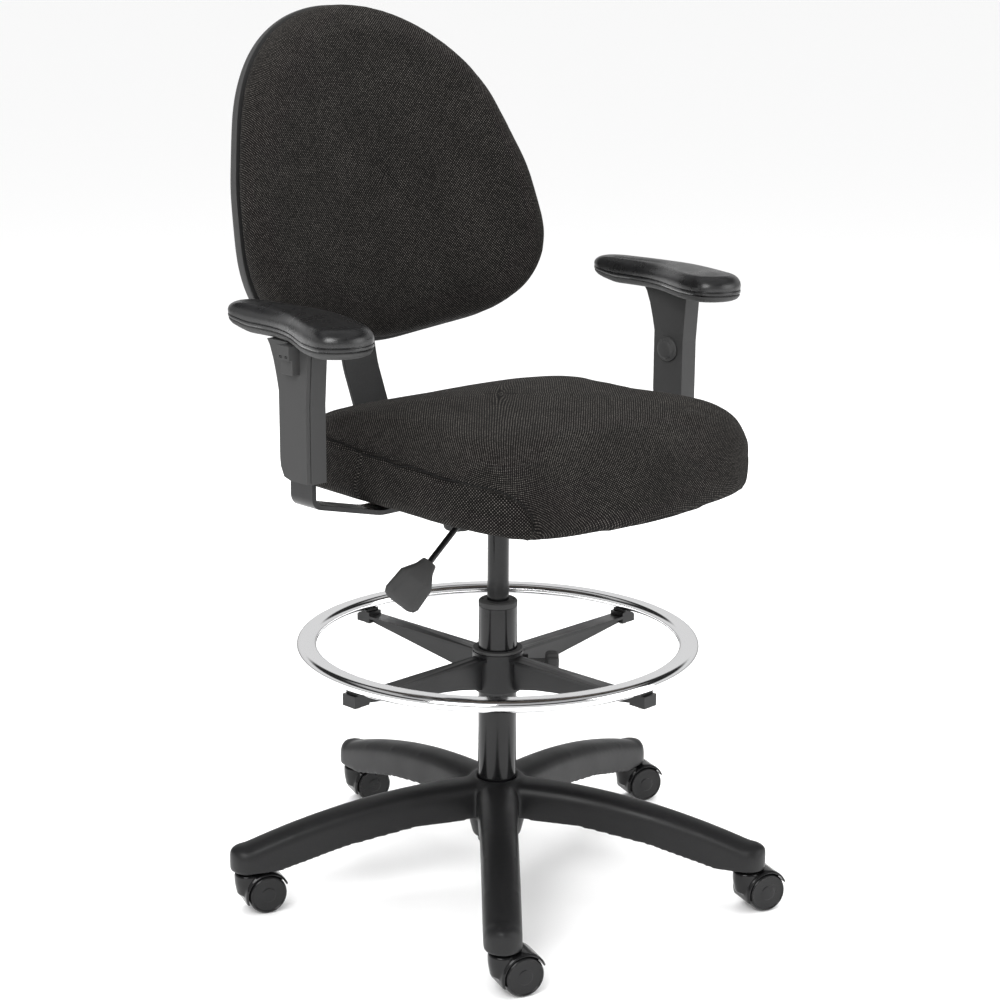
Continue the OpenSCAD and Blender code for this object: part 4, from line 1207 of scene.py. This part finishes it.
@dataclass
class Seat:
    """The seat cushion: a waterfall front, crowned top, and a boxing seam that turns down at the front corners."""

    width: float = 0.478
    depth: float = 0.478
    front: float = 0.284
    thick: float = 0.098
    front_corner: float = 0.100
    rear_corner: float = 0.080
    bow: float = 0.300
    rear_drop: float = 0.018
    sag: float = 0.011
    around: int = 240

    def outline(self, inset: float) -> np.ndarray:
        """The plan of the cushion, inset all round."""
        w, d, f, b = self.width / 2, self.depth / 2, self.front_corner, self.rear_corner
        limit = math.cos(math.asin((w - f) / self.bow))
        discs = [(s * (w - f), -d + f + 0.014, f, -2.0) for s in (-1, 1)]
        discs += [(s * (w - b - 0.010), d - b, b, -2.0) for s in (-1, 1)]
        discs.append((0.0, -d + self.bow, self.bow, limit))
        return string_outline(np.array(discs), inset, self.around, 30)

    def form(self, base: float) -> np.ndarray:
        """The cut shape as rings, from the middle of the underside over the side to the middle of the top.

        Each ring is the plan inset by some amount. Over the top edge the inset grows as r (1 - cos a) and the
        height as h sin a, with a larger r and h towards the front.

        Args:
            base: Height of the underside.

        Returns:
            A grid of points, (rings, around, 3).
        """
        t = self.thick
        plan = {i: self.outline(i / 1000.0) for i in (0, 3, 6, 12)}
        facing = outward(plan[0])
        front = np.clip(-facing[:, 1], 0.0, 1.0) ** 2
        rings = []
        for share in (0.02, 0.35, 0.7, 0.95, 1.0):
            rings.append((plan[12] * share, np.zeros(self.around)))
        rings.append((plan[6], np.full(self.around, 0.06 * t)))
        rings.append((plan[3], np.full(self.around, 0.18 * t)))
        top_start = (0.56 - 0.20 * front) * t
        rings.append((plan[0], 0.5 * (0.18 * t + top_start)))
        round_in = 0.040 + 0.022 * front
        high = t - 0.006
        for a in np.linspace(0.0, np.pi / 2.0, 11):
            inward = round_in * (1.0 - math.cos(a))
            rings.append((plan[0] - facing * inward[:, None], top_start + (high - top_start) * math.sin(a)))
        last = rings[-1][0]
        for share in (0.9, 0.75, 0.55, 0.35, 0.15, 0.02):
            rings.append((last * share, np.full(self.around, high + 0.006 * (1.0 - share**2))))
        grid = np.stack([np.column_stack([xy, z]) for xy, z in rings])
        over = smooth_step(grid[..., 2], 0.3 * t, 0.9 * t)
        grid[..., 2] -= self.rear_drop * smooth_step(grid[..., 1], 0.07, self.depth / 2.0) * over
        under = 1.0 - smooth_step(grid[..., 2], 0.2 * t, 0.6 * t)
        nose = smooth_step(-grid[..., 1], 0.12, self.depth / 2.0) * under
        grid[..., 2] -= self.sag * nose
        return grid + np.array([0.0, self.depth / 2.0 - self.front, base])

    def seam(self, base: float) -> np.ndarray:
        """The boxing seam, from the lower edge at one front corner, round the back, to the other."""
        side = np.array(
            [
                (0.182, -0.250, 0.002),
                (0.190, -0.253, 0.022),
                (0.204, -0.246, 0.040),
                (0.221, -0.222, 0.052),
                (0.235, -0.167, 0.057),
                (0.232, -0.080, 0.061),
                (0.225, 0.020, 0.065),
                (0.213, 0.095, 0.068),
                (0.196, 0.150, 0.068),
                (0.150, 0.180, 0.067),
                (0.0, 0.186, 0.066),
            ]
        )
        other = side[-2::-1] * [-1.0, 1.0, 1.0]
        return np.vstack([side, other]) + [0.0, 0.0, base]

    def build(self, frame: Frame) -> None:
        """Makes, fills and sews the cushion, and dresses what it stands on."""
        base = float(frame.corners("seat_cushion")[0][2])
        piece = Surface().add_grid(self.form(base)).piece("seat_upholstery")
        Padding().fill(piece, lambda p: p[:, 2] < base + 0.004)
        points = points_of(piece)
        plain = np.hypot(points[:, 0] / 0.19, (points[:, 1] + 0.045) / 0.18) < 1.0
        points[plain, 2] = np.maximum(points[plain, 2], base)
        set_points(piece, points)
        line = snap_line(piece, self.seam(base), 0.003)
        self.hollow(piece, line)
        sew(piece, line, 0.0026, 0.0030)
        self.map_cloth(piece, base)
        frame.settle(piece, Finish.CLOTH, "seat_cushion")
        # painted shadow: a thin near-black tube laid along the seam, standing in for the shade in its groove
        line = snap_line(piece, self.seam(base), 0.003)
        radius = np.full(len(line), 0.0009)
        thread = Surface().add_grid(tube(line, radius, np.array([0.0, 0.0, 1.0]), 10))
        frame.settle(thread.piece("seat_seam_thread"), Finish.THREAD, "seat_cushion")
        frame.ease("seat_board", Finish.BOARD, 0.0015)
        frame.dress(Finish.ZINC, "seat_bolts")

    def hollow(self, piece: bpy.types.Object, line: np.ndarray) -> None:
        """Draws the cover in beside each front corner, below the seam: depth * exp(-(d / wide)^2) inwards."""
        points = points_of(piece)
        for side in (-1.0, 1.0):
            spot = line[np.argmin(np.abs(line[:, 1] + 0.205) + (line[:, 0] * side < 0.0) * 9.0)]
            d = np.linalg.norm((points - spot - [0.0, 0.012, -0.012]) / [1.0, 1.0, 0.62], axis=1)
            points[:, 0] -= side * 0.0065 * np.exp(-((d / 0.030) ** 2))
        set_points(piece, points)

    def map_cloth(self, piece: bpy.types.Object, base: float) -> None:
        """Lays the weave. The top and the front are one cloth: a place's plan, plus its drop below the top times
        the way out. The panel below the seam is another: the distance round the outline, and the drop."""
        points = points_of(piece)
        plan = self.outline(0.0) + [0.0, self.depth / 2.0 - self.front]
        out = way_out(points, plan)
        plan = plan[np.argsort(bearing(plan))]
        line = self.seam(base)
        line = line[np.argsort(bearing(line))]
        own = bearing(points)
        drop = base + self.thick - points[:, 2]
        top = points[:, :2] + out * drop[:, None]
        below = points[:, 2] < np.interp(own, bearing(line), line[:, 2], period=2 * np.pi)
        panel = below & (out[:, 1] > -0.85)
        run = np.concatenate([[0.0], np.cumsum(np.linalg.norm(np.diff(plan, axis=0), axis=1))])
        side = np.stack([np.interp(own, bearing(plan), run), -drop], -1)
        put_map(piece, np.where(panel[:, None], side, top))


# ---------- back ----------


@dataclass
class Backrest:
    """The contoured back: moulded shell and crowned cushion, in a frame that leans with it."""

    width: float = 0.490
    height: float = 0.427
    lean: float = math.radians(13.0)
    foot_y: float = 0.225
    foot_z: float = 0.702
    contour: float = 0.600
    cushion: float = 0.056
    shell: float = 0.014
    middle: float = 0.46
    around: int = 240

    def outline(self, inset: float) -> np.ndarray:
        """Width and height of the edge of the back, inset all round."""
        top, low = self.width * 0.45, self.width * 0.22
        discs = [(0.0, self.height - top, top, -2.0)]
        discs += [(s * (self.width / 2.0 - low), low, low, -2.0) for s in (-1, 1)]
        full = self.width * 0.311
        discs += [(s * self.width * 0.175, self.height * 0.377, full, -2.0) for s in (-1, 1)]
        return string_outline(np.array(discs), inset, self.around, 10)

    def place(self, local: np.ndarray) -> np.ndarray:
        """Carries points from the back's own frame to the chair: x across, depth behind the contour, height.

        The contour is a cylinder of radius R in front of the back, so depth d at x lies at sqrt((R + d)^2 - x^2) - R.
        """
        x, d, z = local[..., 0], local[..., 1], local[..., 2]
        y = np.sqrt((self.contour + d) ** 2 - x**2) - self.contour
        c, s = math.cos(self.lean), math.sin(self.lean)
        return np.stack([x, y * c + z * s + self.foot_y, -y * s + z * c + self.foot_z], -1)

    def unplace(self, points: np.ndarray) -> np.ndarray:
        """Undoes place."""
        x, y, z = points[..., 0], points[..., 1] - self.foot_y, points[..., 2] - self.foot_z
        c, s = math.cos(self.lean), math.sin(self.lean)
        back, up = y * c - z * s, y * s + z * c
        depth = np.sqrt((back + self.contour) ** 2 + x**2) - self.contour
        return np.stack([x, depth, up], -1)

    def rings(self, steps: Sequence[tuple[float, float, float]]) -> np.ndarray:
        """Closed rings from inset, depth and share of the way to the middle.

        Args:
            steps: Inset, depth, and how much of the ring's size is left once it shrinks to the middle.

        Returns:
            A grid of points in the back's own frame, (rings, around, 3).
        """
        centre = np.array([0.0, self.height * self.middle])
        grid = []
        for inset, depth, share in steps:
            flat = centre + (self.outline(inset) - centre) * share
            grid.append(np.column_stack([flat[:, 0], np.full(self.around, depth), flat[:, 1]]))
        return np.stack(grid)

    def shell_piece(self) -> bpy.types.Object:
        """The shell: a rolled edge, and a back face with a shallow line moulded round it."""
        t = self.shell
        steps = [(0.004, 0.0, s) for s in (0.02, 0.3, 0.6, 0.85, 1.0)]
        steps += [(0.0012, 0.0004, 1.0), (0.0, 0.0018, 1.0), (0.0, t * 0.45, 1.0), (0.0008, t * 0.7, 1.0)]
        steps += [(0.0030, t * 0.92, 1.0), (0.0075, t, 1.0), (0.0180, t, 1.0)]
        steps += [(0.0190, t - 0.0012, 1.0), (0.0215, t - 0.0012, 1.0), (0.0225, t, 1.0)]
        steps += [(0.0240, t, s) for s in (0.98, 0.85, 0.6, 0.3, 0.02)]
        return Surface().add_grid(self.place(self.rings(steps))).piece("back_moulding", 40.0)

    def cushion_piece(self) -> bpy.types.Object:
        """The cushion: from the shell out over a full rounded edge to a crowned front."""
        t = self.cushion - 0.004
        steps = [(0.006, -0.0008, s) for s in (0.02, 0.3, 0.6, 0.85, 1.0)]
        steps += [(0.0020, -0.003, 1.0), (-0.0010, -0.008, 1.0), (-0.0020, -0.016, 1.0)]
        for a in np.linspace(0.0, np.pi / 2.0, 11)[1:]:
            inward = 0.022 * (1.0 - math.cos(a)) - 0.0020
            steps.append((inward, -0.016 - (t - 0.024) * math.sin(a), 1.0))
        steps += [(0.0205, -t + 0.007 * s * s, s) for s in (0.93, 0.85, 0.7, 0.5, 0.3, 0.02)]
        return Surface().add_grid(self.place(self.rings(steps))).piece("back_upholstery")

    def build(self, frame: Frame) -> None:
        """Makes the shell and the cushion, and eases the parts that carry them."""
        frame.settle(self.shell_piece(), Finish.MOULDED, "back_shell")
        piece = self.cushion_piece()
        Padding(rise=0.005).fill(piece, lambda p: self.unplace(p)[:, 1] > -0.006)
        local = self.unplace(points_of(piece))
        local[:, 1] = np.minimum(local[:, 1], -0.0006)
        set_points(piece, self.place(local))
        self.map_cloth(piece, local)
        frame.settle(piece, Finish.CLOTH, "back_cushion")
        frame.ease("back_bar", Finish.STEEL, 0.0012)
        frame.ease("back_bracket", Finish.MOULDED, 0.0020, 3)

    def map_cloth(self, piece: bpy.types.Object, local: np.ndarray) -> None:
        """Lays the weave: on the front by width and height, and round the edge by adding the depth gone back."""
        centre = np.array([0.0, self.height * self.middle])
        flat = local[:, [0, 2]]
        out = way_out(flat - centre, self.outline(0.0) - centre)
        gone = local[:, 1] + self.cushion
        put_map(piece, flat + out * gone[:, None])


# ---------- arms ----------


class Side(Enum):
    """The two arms, as the sign of X."""

    RIGHT = -1
    LEFT = 1

    @property
    def word(self) -> str:
        """The side as the nodes' names end."""
        return self.name.lower()


@dataclass
class Arm:
    """One height arm: sleeve, cover, button, cap, and the bent pad on its plate."""

    side: Side
    post: float = 0.320
    half_sleeve: float = 0.014
    length: float = 0.272
    front_radius: float = 0.042
    rear_radius: float = 0.024
    middle_radius: float = 0.0325
    bend: float = 0.038
    shift: float = 0.010
    thick: float = 0.027
    rear_lift: float = 0.008
    around: int = 160

    def limits(self) -> tuple[np.ndarray, np.ndarray, np.ndarray]:
        """How far the pad reaches to each side along its length. Discs stand along a bent middle line and change
        from one radius to the next; at a height y the reach is the most of x + sqrt(r^2 - (y - c)^2) over them.

        Returns:
            Places along Y from front to rear, and the low and high X at each.
        """
        at = np.array([self.side.value * (self.post - self.shift), -self.shift])
        spots = np.array(
            [
                at + [0.0, self.length / 2.0 - self.rear_radius],
                at + [self.bend * 0.28, 0.0],
                at + [-self.bend, -self.length / 2.0 + self.front_radius],
            ]
        )
        radii = (self.rear_radius, self.middle_radius, self.front_radius)
        t = np.linspace(0.0, 2.0, 161)
        x, c, r = (np.interp(t, (0.0, 1.0, 2.0), v)[:, None] for v in (spots[:, 0], spots[:, 1], radii))
        low, high = float((c - r).min()), float((c + r).max())
        turn = np.linspace(0.0, np.pi, self.around // 2 + 2)[1:-1]
        y = (low + high) / 2.0 - (high - low) / 2.0 * np.cos(turn)
        reach = np.sqrt(np.maximum(r**2 - (y[None, :] - c) ** 2, 0.0))
        inside = r**2 > (y[None, :] - c) ** 2
        left = np.where(inside, x - reach, np.inf).min(0)
        right = np.where(inside, x + reach, -np.inf).max(0)
        eased = smooth_step(np.sin(turn), 0.45, 0.8)
        for side in (left, right):
            side += eased * (relaxed(side, 90) - side)
        return y, left, right

    def plan(self) -> np.ndarray:
        """The pad's outline, from its limits: down the low X side to the front, and back up the high X side."""
        y, left, right = self.limits()
        return np.vstack([np.stack([left, y], -1)[::-1], np.stack([right, y], -1)])

    def slab(self, steps: Sequence[tuple[float, float]], shares: Sequence[float]) -> np.ndarray:
        """Rings of the plan from inset and height, with the first and last shrinking to their middle.

        Args:
            steps: Inset and height of each full ring, upwards.
            shares: Sizes of the rings that close the underside and the top, from small to large.

        Returns:
            A grid of points, (rings, around, 3).
        """
        plan = self.plan()
        spine = self.spine()
        inwards = spine[:, :2] - plan
        inwards /= np.linalg.norm(inwards, axis=1, keepdims=True)
        full = [np.column_stack([plan + inwards * i, np.full(self.around, z)]) for i, z in steps]
        below = [full[0] + (spine - full[0]) * [1, 1, 0] * (1.0 - s) for s in shares]
        crown = 0.0022
        above = []
        for s in shares[::-1]:
            ring = full[-1] + (spine - full[-1]) * [1, 1, 0] * (1.0 - s)
            above.append(ring + [0.0, 0.0, crown * (1.0 - s * s)])
        return np.stack([*below, *full, *above])

    def spine(self) -> np.ndarray:
        """For each outline point, a place on the pad's long middle line to shrink towards."""
        y, left, right = self.limits()
        middle = (y[0] + y[-1]) / 2.0
        drawn = middle + (y - middle) * 0.66
        half = np.stack([np.interp(drawn, y, (left + right) / 2.0), drawn, drawn * 0.0], -1)
        return np.vstack([half[::-1], half])

    def tapered(self, grid: np.ndarray, base: float) -> np.ndarray:
        """Lifts the underside towards the rear: z grows by lift * (1 - (z - base) / thick), and the top stays."""
        lift = self.rear_lift * smooth_step(grid[..., 1], 0.070, 0.130)
        share = np.clip(1.0 - (grid[..., 2] - base) / self.thick, 0.0, 1.3)
        grid[..., 2] += lift * share
        return grid

    def pad(self, base: float) -> bpy.types.Object:
        """The pad: a lower band, two parting grooves and a full rounded top."""
        t = self.thick
        steps = [(0.0045, 0.0), (0.0016, 0.0004), (0.0013, 0.0010), (0.0002, 0.0016), (0.0, 0.0030), (0.0002, 0.0046)]
        steps += [(0.0016, 0.0051), (0.0017, 0.0058), (0.0004, 0.0064)]
        start, round_in = 0.0100, 0.0185
        for a in np.linspace(0.0, np.pi / 2.0, 14):
            steps.append((round_in * (1.0 - math.cos(a)), start + (t - 0.0022 - start) * math.sin(a)))
        grid = self.slab(steps, (0.0, 0.3, 0.6, 0.85))
        grid[..., 2] += base
        grid = self.tapered(grid, base)
        return Surface().add_grid(grid, cap=False).piece(f"arm_pad_skin_{self.side.word}", 50.0)

    def plate(self, frame: Frame) -> bpy.types.Object:
        """The plate under the pad, with its lower edge drawn in, and the pivot that stands in the sleeve."""
        low, high = frame.corners(f"arm_plate_{self.side.word}")
        top = float(high[2])
        steps = [(0.0130, top - 0.0080), (0.0085, top - 0.0076), (0.0040, top - 0.0058)]
        steps += [(0.0016, top - 0.003), (0.0010, top - 0.0010), (0.0018, top)]
        made = Surface().add_grid(self.tapered(self.slab(steps, (0.0, 0.3, 0.6, 0.85)), top), cap=False)
        tall = top - 0.004 - low[2]
        pin = rounded_line([(0.0, 0.0, 0), (0.0078, 0.0, 0.001), (0.0078, tall, 0), (0.0, tall, 0)])
        made.join(Surface().add_grid(lathe(pin, 32)).moved(lambda p: p + [self.side.value * self.post, 0.0, low[2]]))
        return made.piece(f"arm_plate_skin_{self.side.word}", 40.0)

    def cap(self, frame: Frame) -> bpy.types.Object:
        """The round cap on the inner side: a low dome with a raised rim."""
        word = f"arm_cap_{self.side.word}"
        middle = frame.middle(word)
        profile = rounded_line(
            [
                (0.0, -0.004, 0),
                (0.0058, -0.004, 0.0005),
                (0.0058, 0.0002, 0),
                (0.0160, 0.0002, 0.0008),
                (0.0170, 0.0028, 0.001),
                (0.0150, 0.0046, 0.001),
                (0.0128, 0.0052, 0.001),
                (0.0112, 0.0088, 0.003),
                (0.0, 0.0104, 0),
            ],
            5,
        )
        grid = lathe(profile, 64)
        inner = self.side.value * (self.post - self.half_sleeve)
        out = -self.side.value * grid[..., 2] + inner
        laid = np.stack([out, grid[..., 0] + middle[1], grid[..., 1] + middle[2]], -1)
        return Surface().add_grid(laid).piece(f"arm_cap_dome_{self.side.word}", 40.0)

    def build(self, frame: Frame) -> None:
        """Makes the arm's pieces in place of their nodes."""
        word = self.side.word
        pad = self.pad(float(frame.corners(f"arm_pad_{word}")[0][2]))
        frame.settle(pad, Finish.PAD, f"arm_pad_{word}")
        frame.settle(self.plate(frame), Finish.MOULDED, f"arm_plate_{word}")
        frame.settle(self.cap(frame), Finish.MOULDED, f"arm_cap_{word}")
        frame.ease(f"arm_sleeve_{word}", Finish.MOULDED, 0.0018, 3)
        frame.ease(f"arm_cover_{word}", Finish.MOULDED, 0.0016, 3)
        frame.ease(f"arm_button_{word}", Finish.MOULDED, 0.0008)
        frame.ease(f"arm_bar_{word}", Finish.STEEL, 0.0010)


def lower_knobs(frame: Frame) -> None:
    """Makes the clamp knobs on the ring's collet and under the back bar."""
    turn, screw_end, ring_face = math.radians(-40.0), 0.0295, 0.062
    way = np.array([math.cos(turn), math.sin(turn), 0.0])
    up = np.array([0.0, 0.0, float(frame.middle("ring_knob")[2])])
    HandKnob(0.0135, 0.017, 8).build(frame, "ring_knob", up + way * screw_end, up + way * ring_face)

    low, high = frame.corners("depth_knob")
    centre = frame.middle("depth_knob") * [1, 1, 0]
    under = HandKnob(0.020, 0.024, 7)
    under.build(frame, "depth_knob", centre + [0, 0, high[2]], centre + [0, 0, low[2] + under.height])


def height_knob(frame: Frame, back: Backrest) -> None:
    """Makes the clamp knob behind the back."""
    bar_depth, knob_height, screw_gap, stand_off = back.shell + 0.040, 0.115, 0.0033, 0.0135
    c, s = math.cos(back.lean), math.sin(back.lean)
    lean = np.array([0.0, c, -s])
    foot = np.array([0.0, back.foot_y, back.foot_z]) + knob_height * np.array([0.0, s, c])
    face = foot + lean * (bar_depth + stand_off)
    HandKnob(0.023, 0.022, 7).build(frame, "height_knob", foot + lean * (bar_depth + screw_gap), face)


# ---------- studio ----------


@dataclass
class Studio:
    """The pale floor, the soft lights and the camera."""

    lens: float = 76.0
    spot: tuple[float, float, float] = (-1.797, -1.867, 1.1557)
    turn: float = math.radians(43.9)
    pitch: float = math.radians(-13.97)
    roll: float = 0.006
    shift: tuple[float, float] = (0.0016, 0.0006)

    def camera(self) -> None:
        """Makes the camera: forward from its turn and pitch, then rolled about that."""
        ahead = Vector(
            (
                math.sin(self.turn) * math.cos(self.pitch),
                math.cos(self.turn) * math.cos(self.pitch),
                math.sin(self.pitch),
            )
        )
        right = ahead.cross(Vector((0.0, 0.0, 1.0))).normalized()
        up = right.cross(ahead)
        c, s = math.cos(self.roll), math.sin(self.roll)
        columns = (right * c + up * s, up * c - right * s, -ahead)
        made = new_object("camera", bpy.data.cameras.new("camera"))
        made.matrix_world = Matrix.Translation(self.spot) @ Matrix(columns).transposed().to_4x4()
        made.data.lens = self.lens
        made.data.sensor_width = 36.0
        made.data.shift_x, made.data.shift_y = self.shift
        bpy.context.scene.camera = made

    def floor(self) -> None:
        """A wide pale floor."""
        plane = Surface()
        edge = np.linspace(-150.0, 150.0, 3)
        grid = np.stack(np.meshgrid(edge, edge, indexing="ij"), -1)
        plane.add_grid(np.dstack([grid, np.zeros((3, 3))]), cap=False, closed=False)
        obj = plane.piece("floor")
        paint = Tree("floor_white", (0.96, 0.96, 0.96), 0.85)
        paint.relief(paint.noise(0.05, 2.0), 0.0002, 0.1)
        obj.data.materials.append(paint.material)

    def lamp(self, name: str, place: Sequence[float], size: float, power: float, shine: bool = True) -> None:
        """A square soft light that faces the middle of the chair, seen or not seen in shiny surfaces."""
        light = bpy.data.lights.new(name, "AREA")
        light.shape = "SQUARE"
        light.size = size
        light.energy = power
        obj = new_object(name, light)
        obj.location = place
        obj.visible_glossy = shine
        way = Vector((0.0, 0.0, 0.6)) - Vector(place)
        obj.rotation_mode = "QUATERNION"
        obj.rotation_quaternion = way.to_track_quat("-Z", "Y")

    def sky(self, tree: bpy.types.NodeTree, back: bpy.types.ShaderNode) -> None:
        """An even white sky, which shiny surfaces see as a studio: bright walls, a dark gap, and a soft roof.

        Args:
            tree: The sky's nodes.
            back: Its background node.
        """
        where = tree.nodes.new("ShaderNodeTexCoord")
        apart = tree.nodes.new("ShaderNodeSeparateXYZ")
        studio = tree.nodes.new("ShaderNodeValToRGB")
        rays = tree.nodes.new("ShaderNodeLightPath")
        level = tree.nodes.new("ShaderNodeMix")
        tree.links.new(where.outputs["Generated"], apart.inputs[0])
        tree.links.new(apart.outputs["Z"], studio.inputs[0])
        dark, bright = ((0.48, 0.02), (0.68, 0.02)), ((0.12, 0.70), (0.40, 0.74))
        stops = ((0.0, 0.15), (0.04, 0.20), *bright, *dark, (0.78, 0.5), (1.0, 0.3))
        ramp = studio.color_ramp
        while len(ramp.elements) < len(stops):
            ramp.elements.new(0.5)
        for element, (place, grey) in zip(ramp.elements, stops):
            element.position = place
            element.color = (grey, grey, grey, 1.0)
        tree.links.new(rays.outputs["Is Glossy Ray"], level.inputs[0])
        level.inputs[2].default_value = 1.04
        tree.links.new(studio.outputs[0], level.inputs[3])
        tree.links.new(level.outputs[0], back.inputs["Strength"])

    def build(self) -> None:
        """Sets up the floor, lights, sky and camera."""
        self.floor()
        self.camera()
        self.lamp("key", (-2.6, -1.2, 2.6), 1.8, 80.0)
        self.lamp("top", (0.2, 0.4, 3.4), 2.6, 90.0, False)
        self.lamp("fill", (1.6, -2.8, 1.5), 2.2, 32.0)
        self.lamp("rim", (2.4, 1.6, 1.8), 1.6, 30.0, False)
        world = bpy.data.worlds.new("sky")
        world.use_nodes = True
        back = world.node_tree.nodes["Background"]
        back.inputs["Color"].default_value = (1.0, 1.0, 1.0, 1.0)
        self.sky(world.node_tree, back)
        scene = bpy.context.scene
        scene.world = world
        scene.view_settings.view_transform = "Standard"


def main() -> None:
    """Builds the chair over its frame, one sub-assembly at a time."""
    logging.basicConfig(level=logging.INFO, format="%(message)s")
    frame = Frame()
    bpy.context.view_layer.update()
    Studio().build()

    base = StarBase()
    base.build(frame)
    Caster(base).build(frame)
    frame.ease("column_tube", Finish.TUBE, 0.0004)
    frame.ease("column_bush", Finish.MOULDED, 0.0004)
    frame.ease("gas_cylinder", Finish.TUBE, 0.0006)
    frame.dress(Finish.ZINC, "thrust_bearing", "piston_rod", "valve_pin")
    FootRing().build(frame)
    frame.ease("mechanism_housing", Finish.STEEL, 0.0008)
    Lever().build(frame)

    lower_knobs(frame)
    Seat().build(frame)
    back = Backrest()
    back.build(frame)
    height_knob(frame, back)
    for side in Side:
        Arm(side).build(frame)


if __name__ == "__main__":
    main()
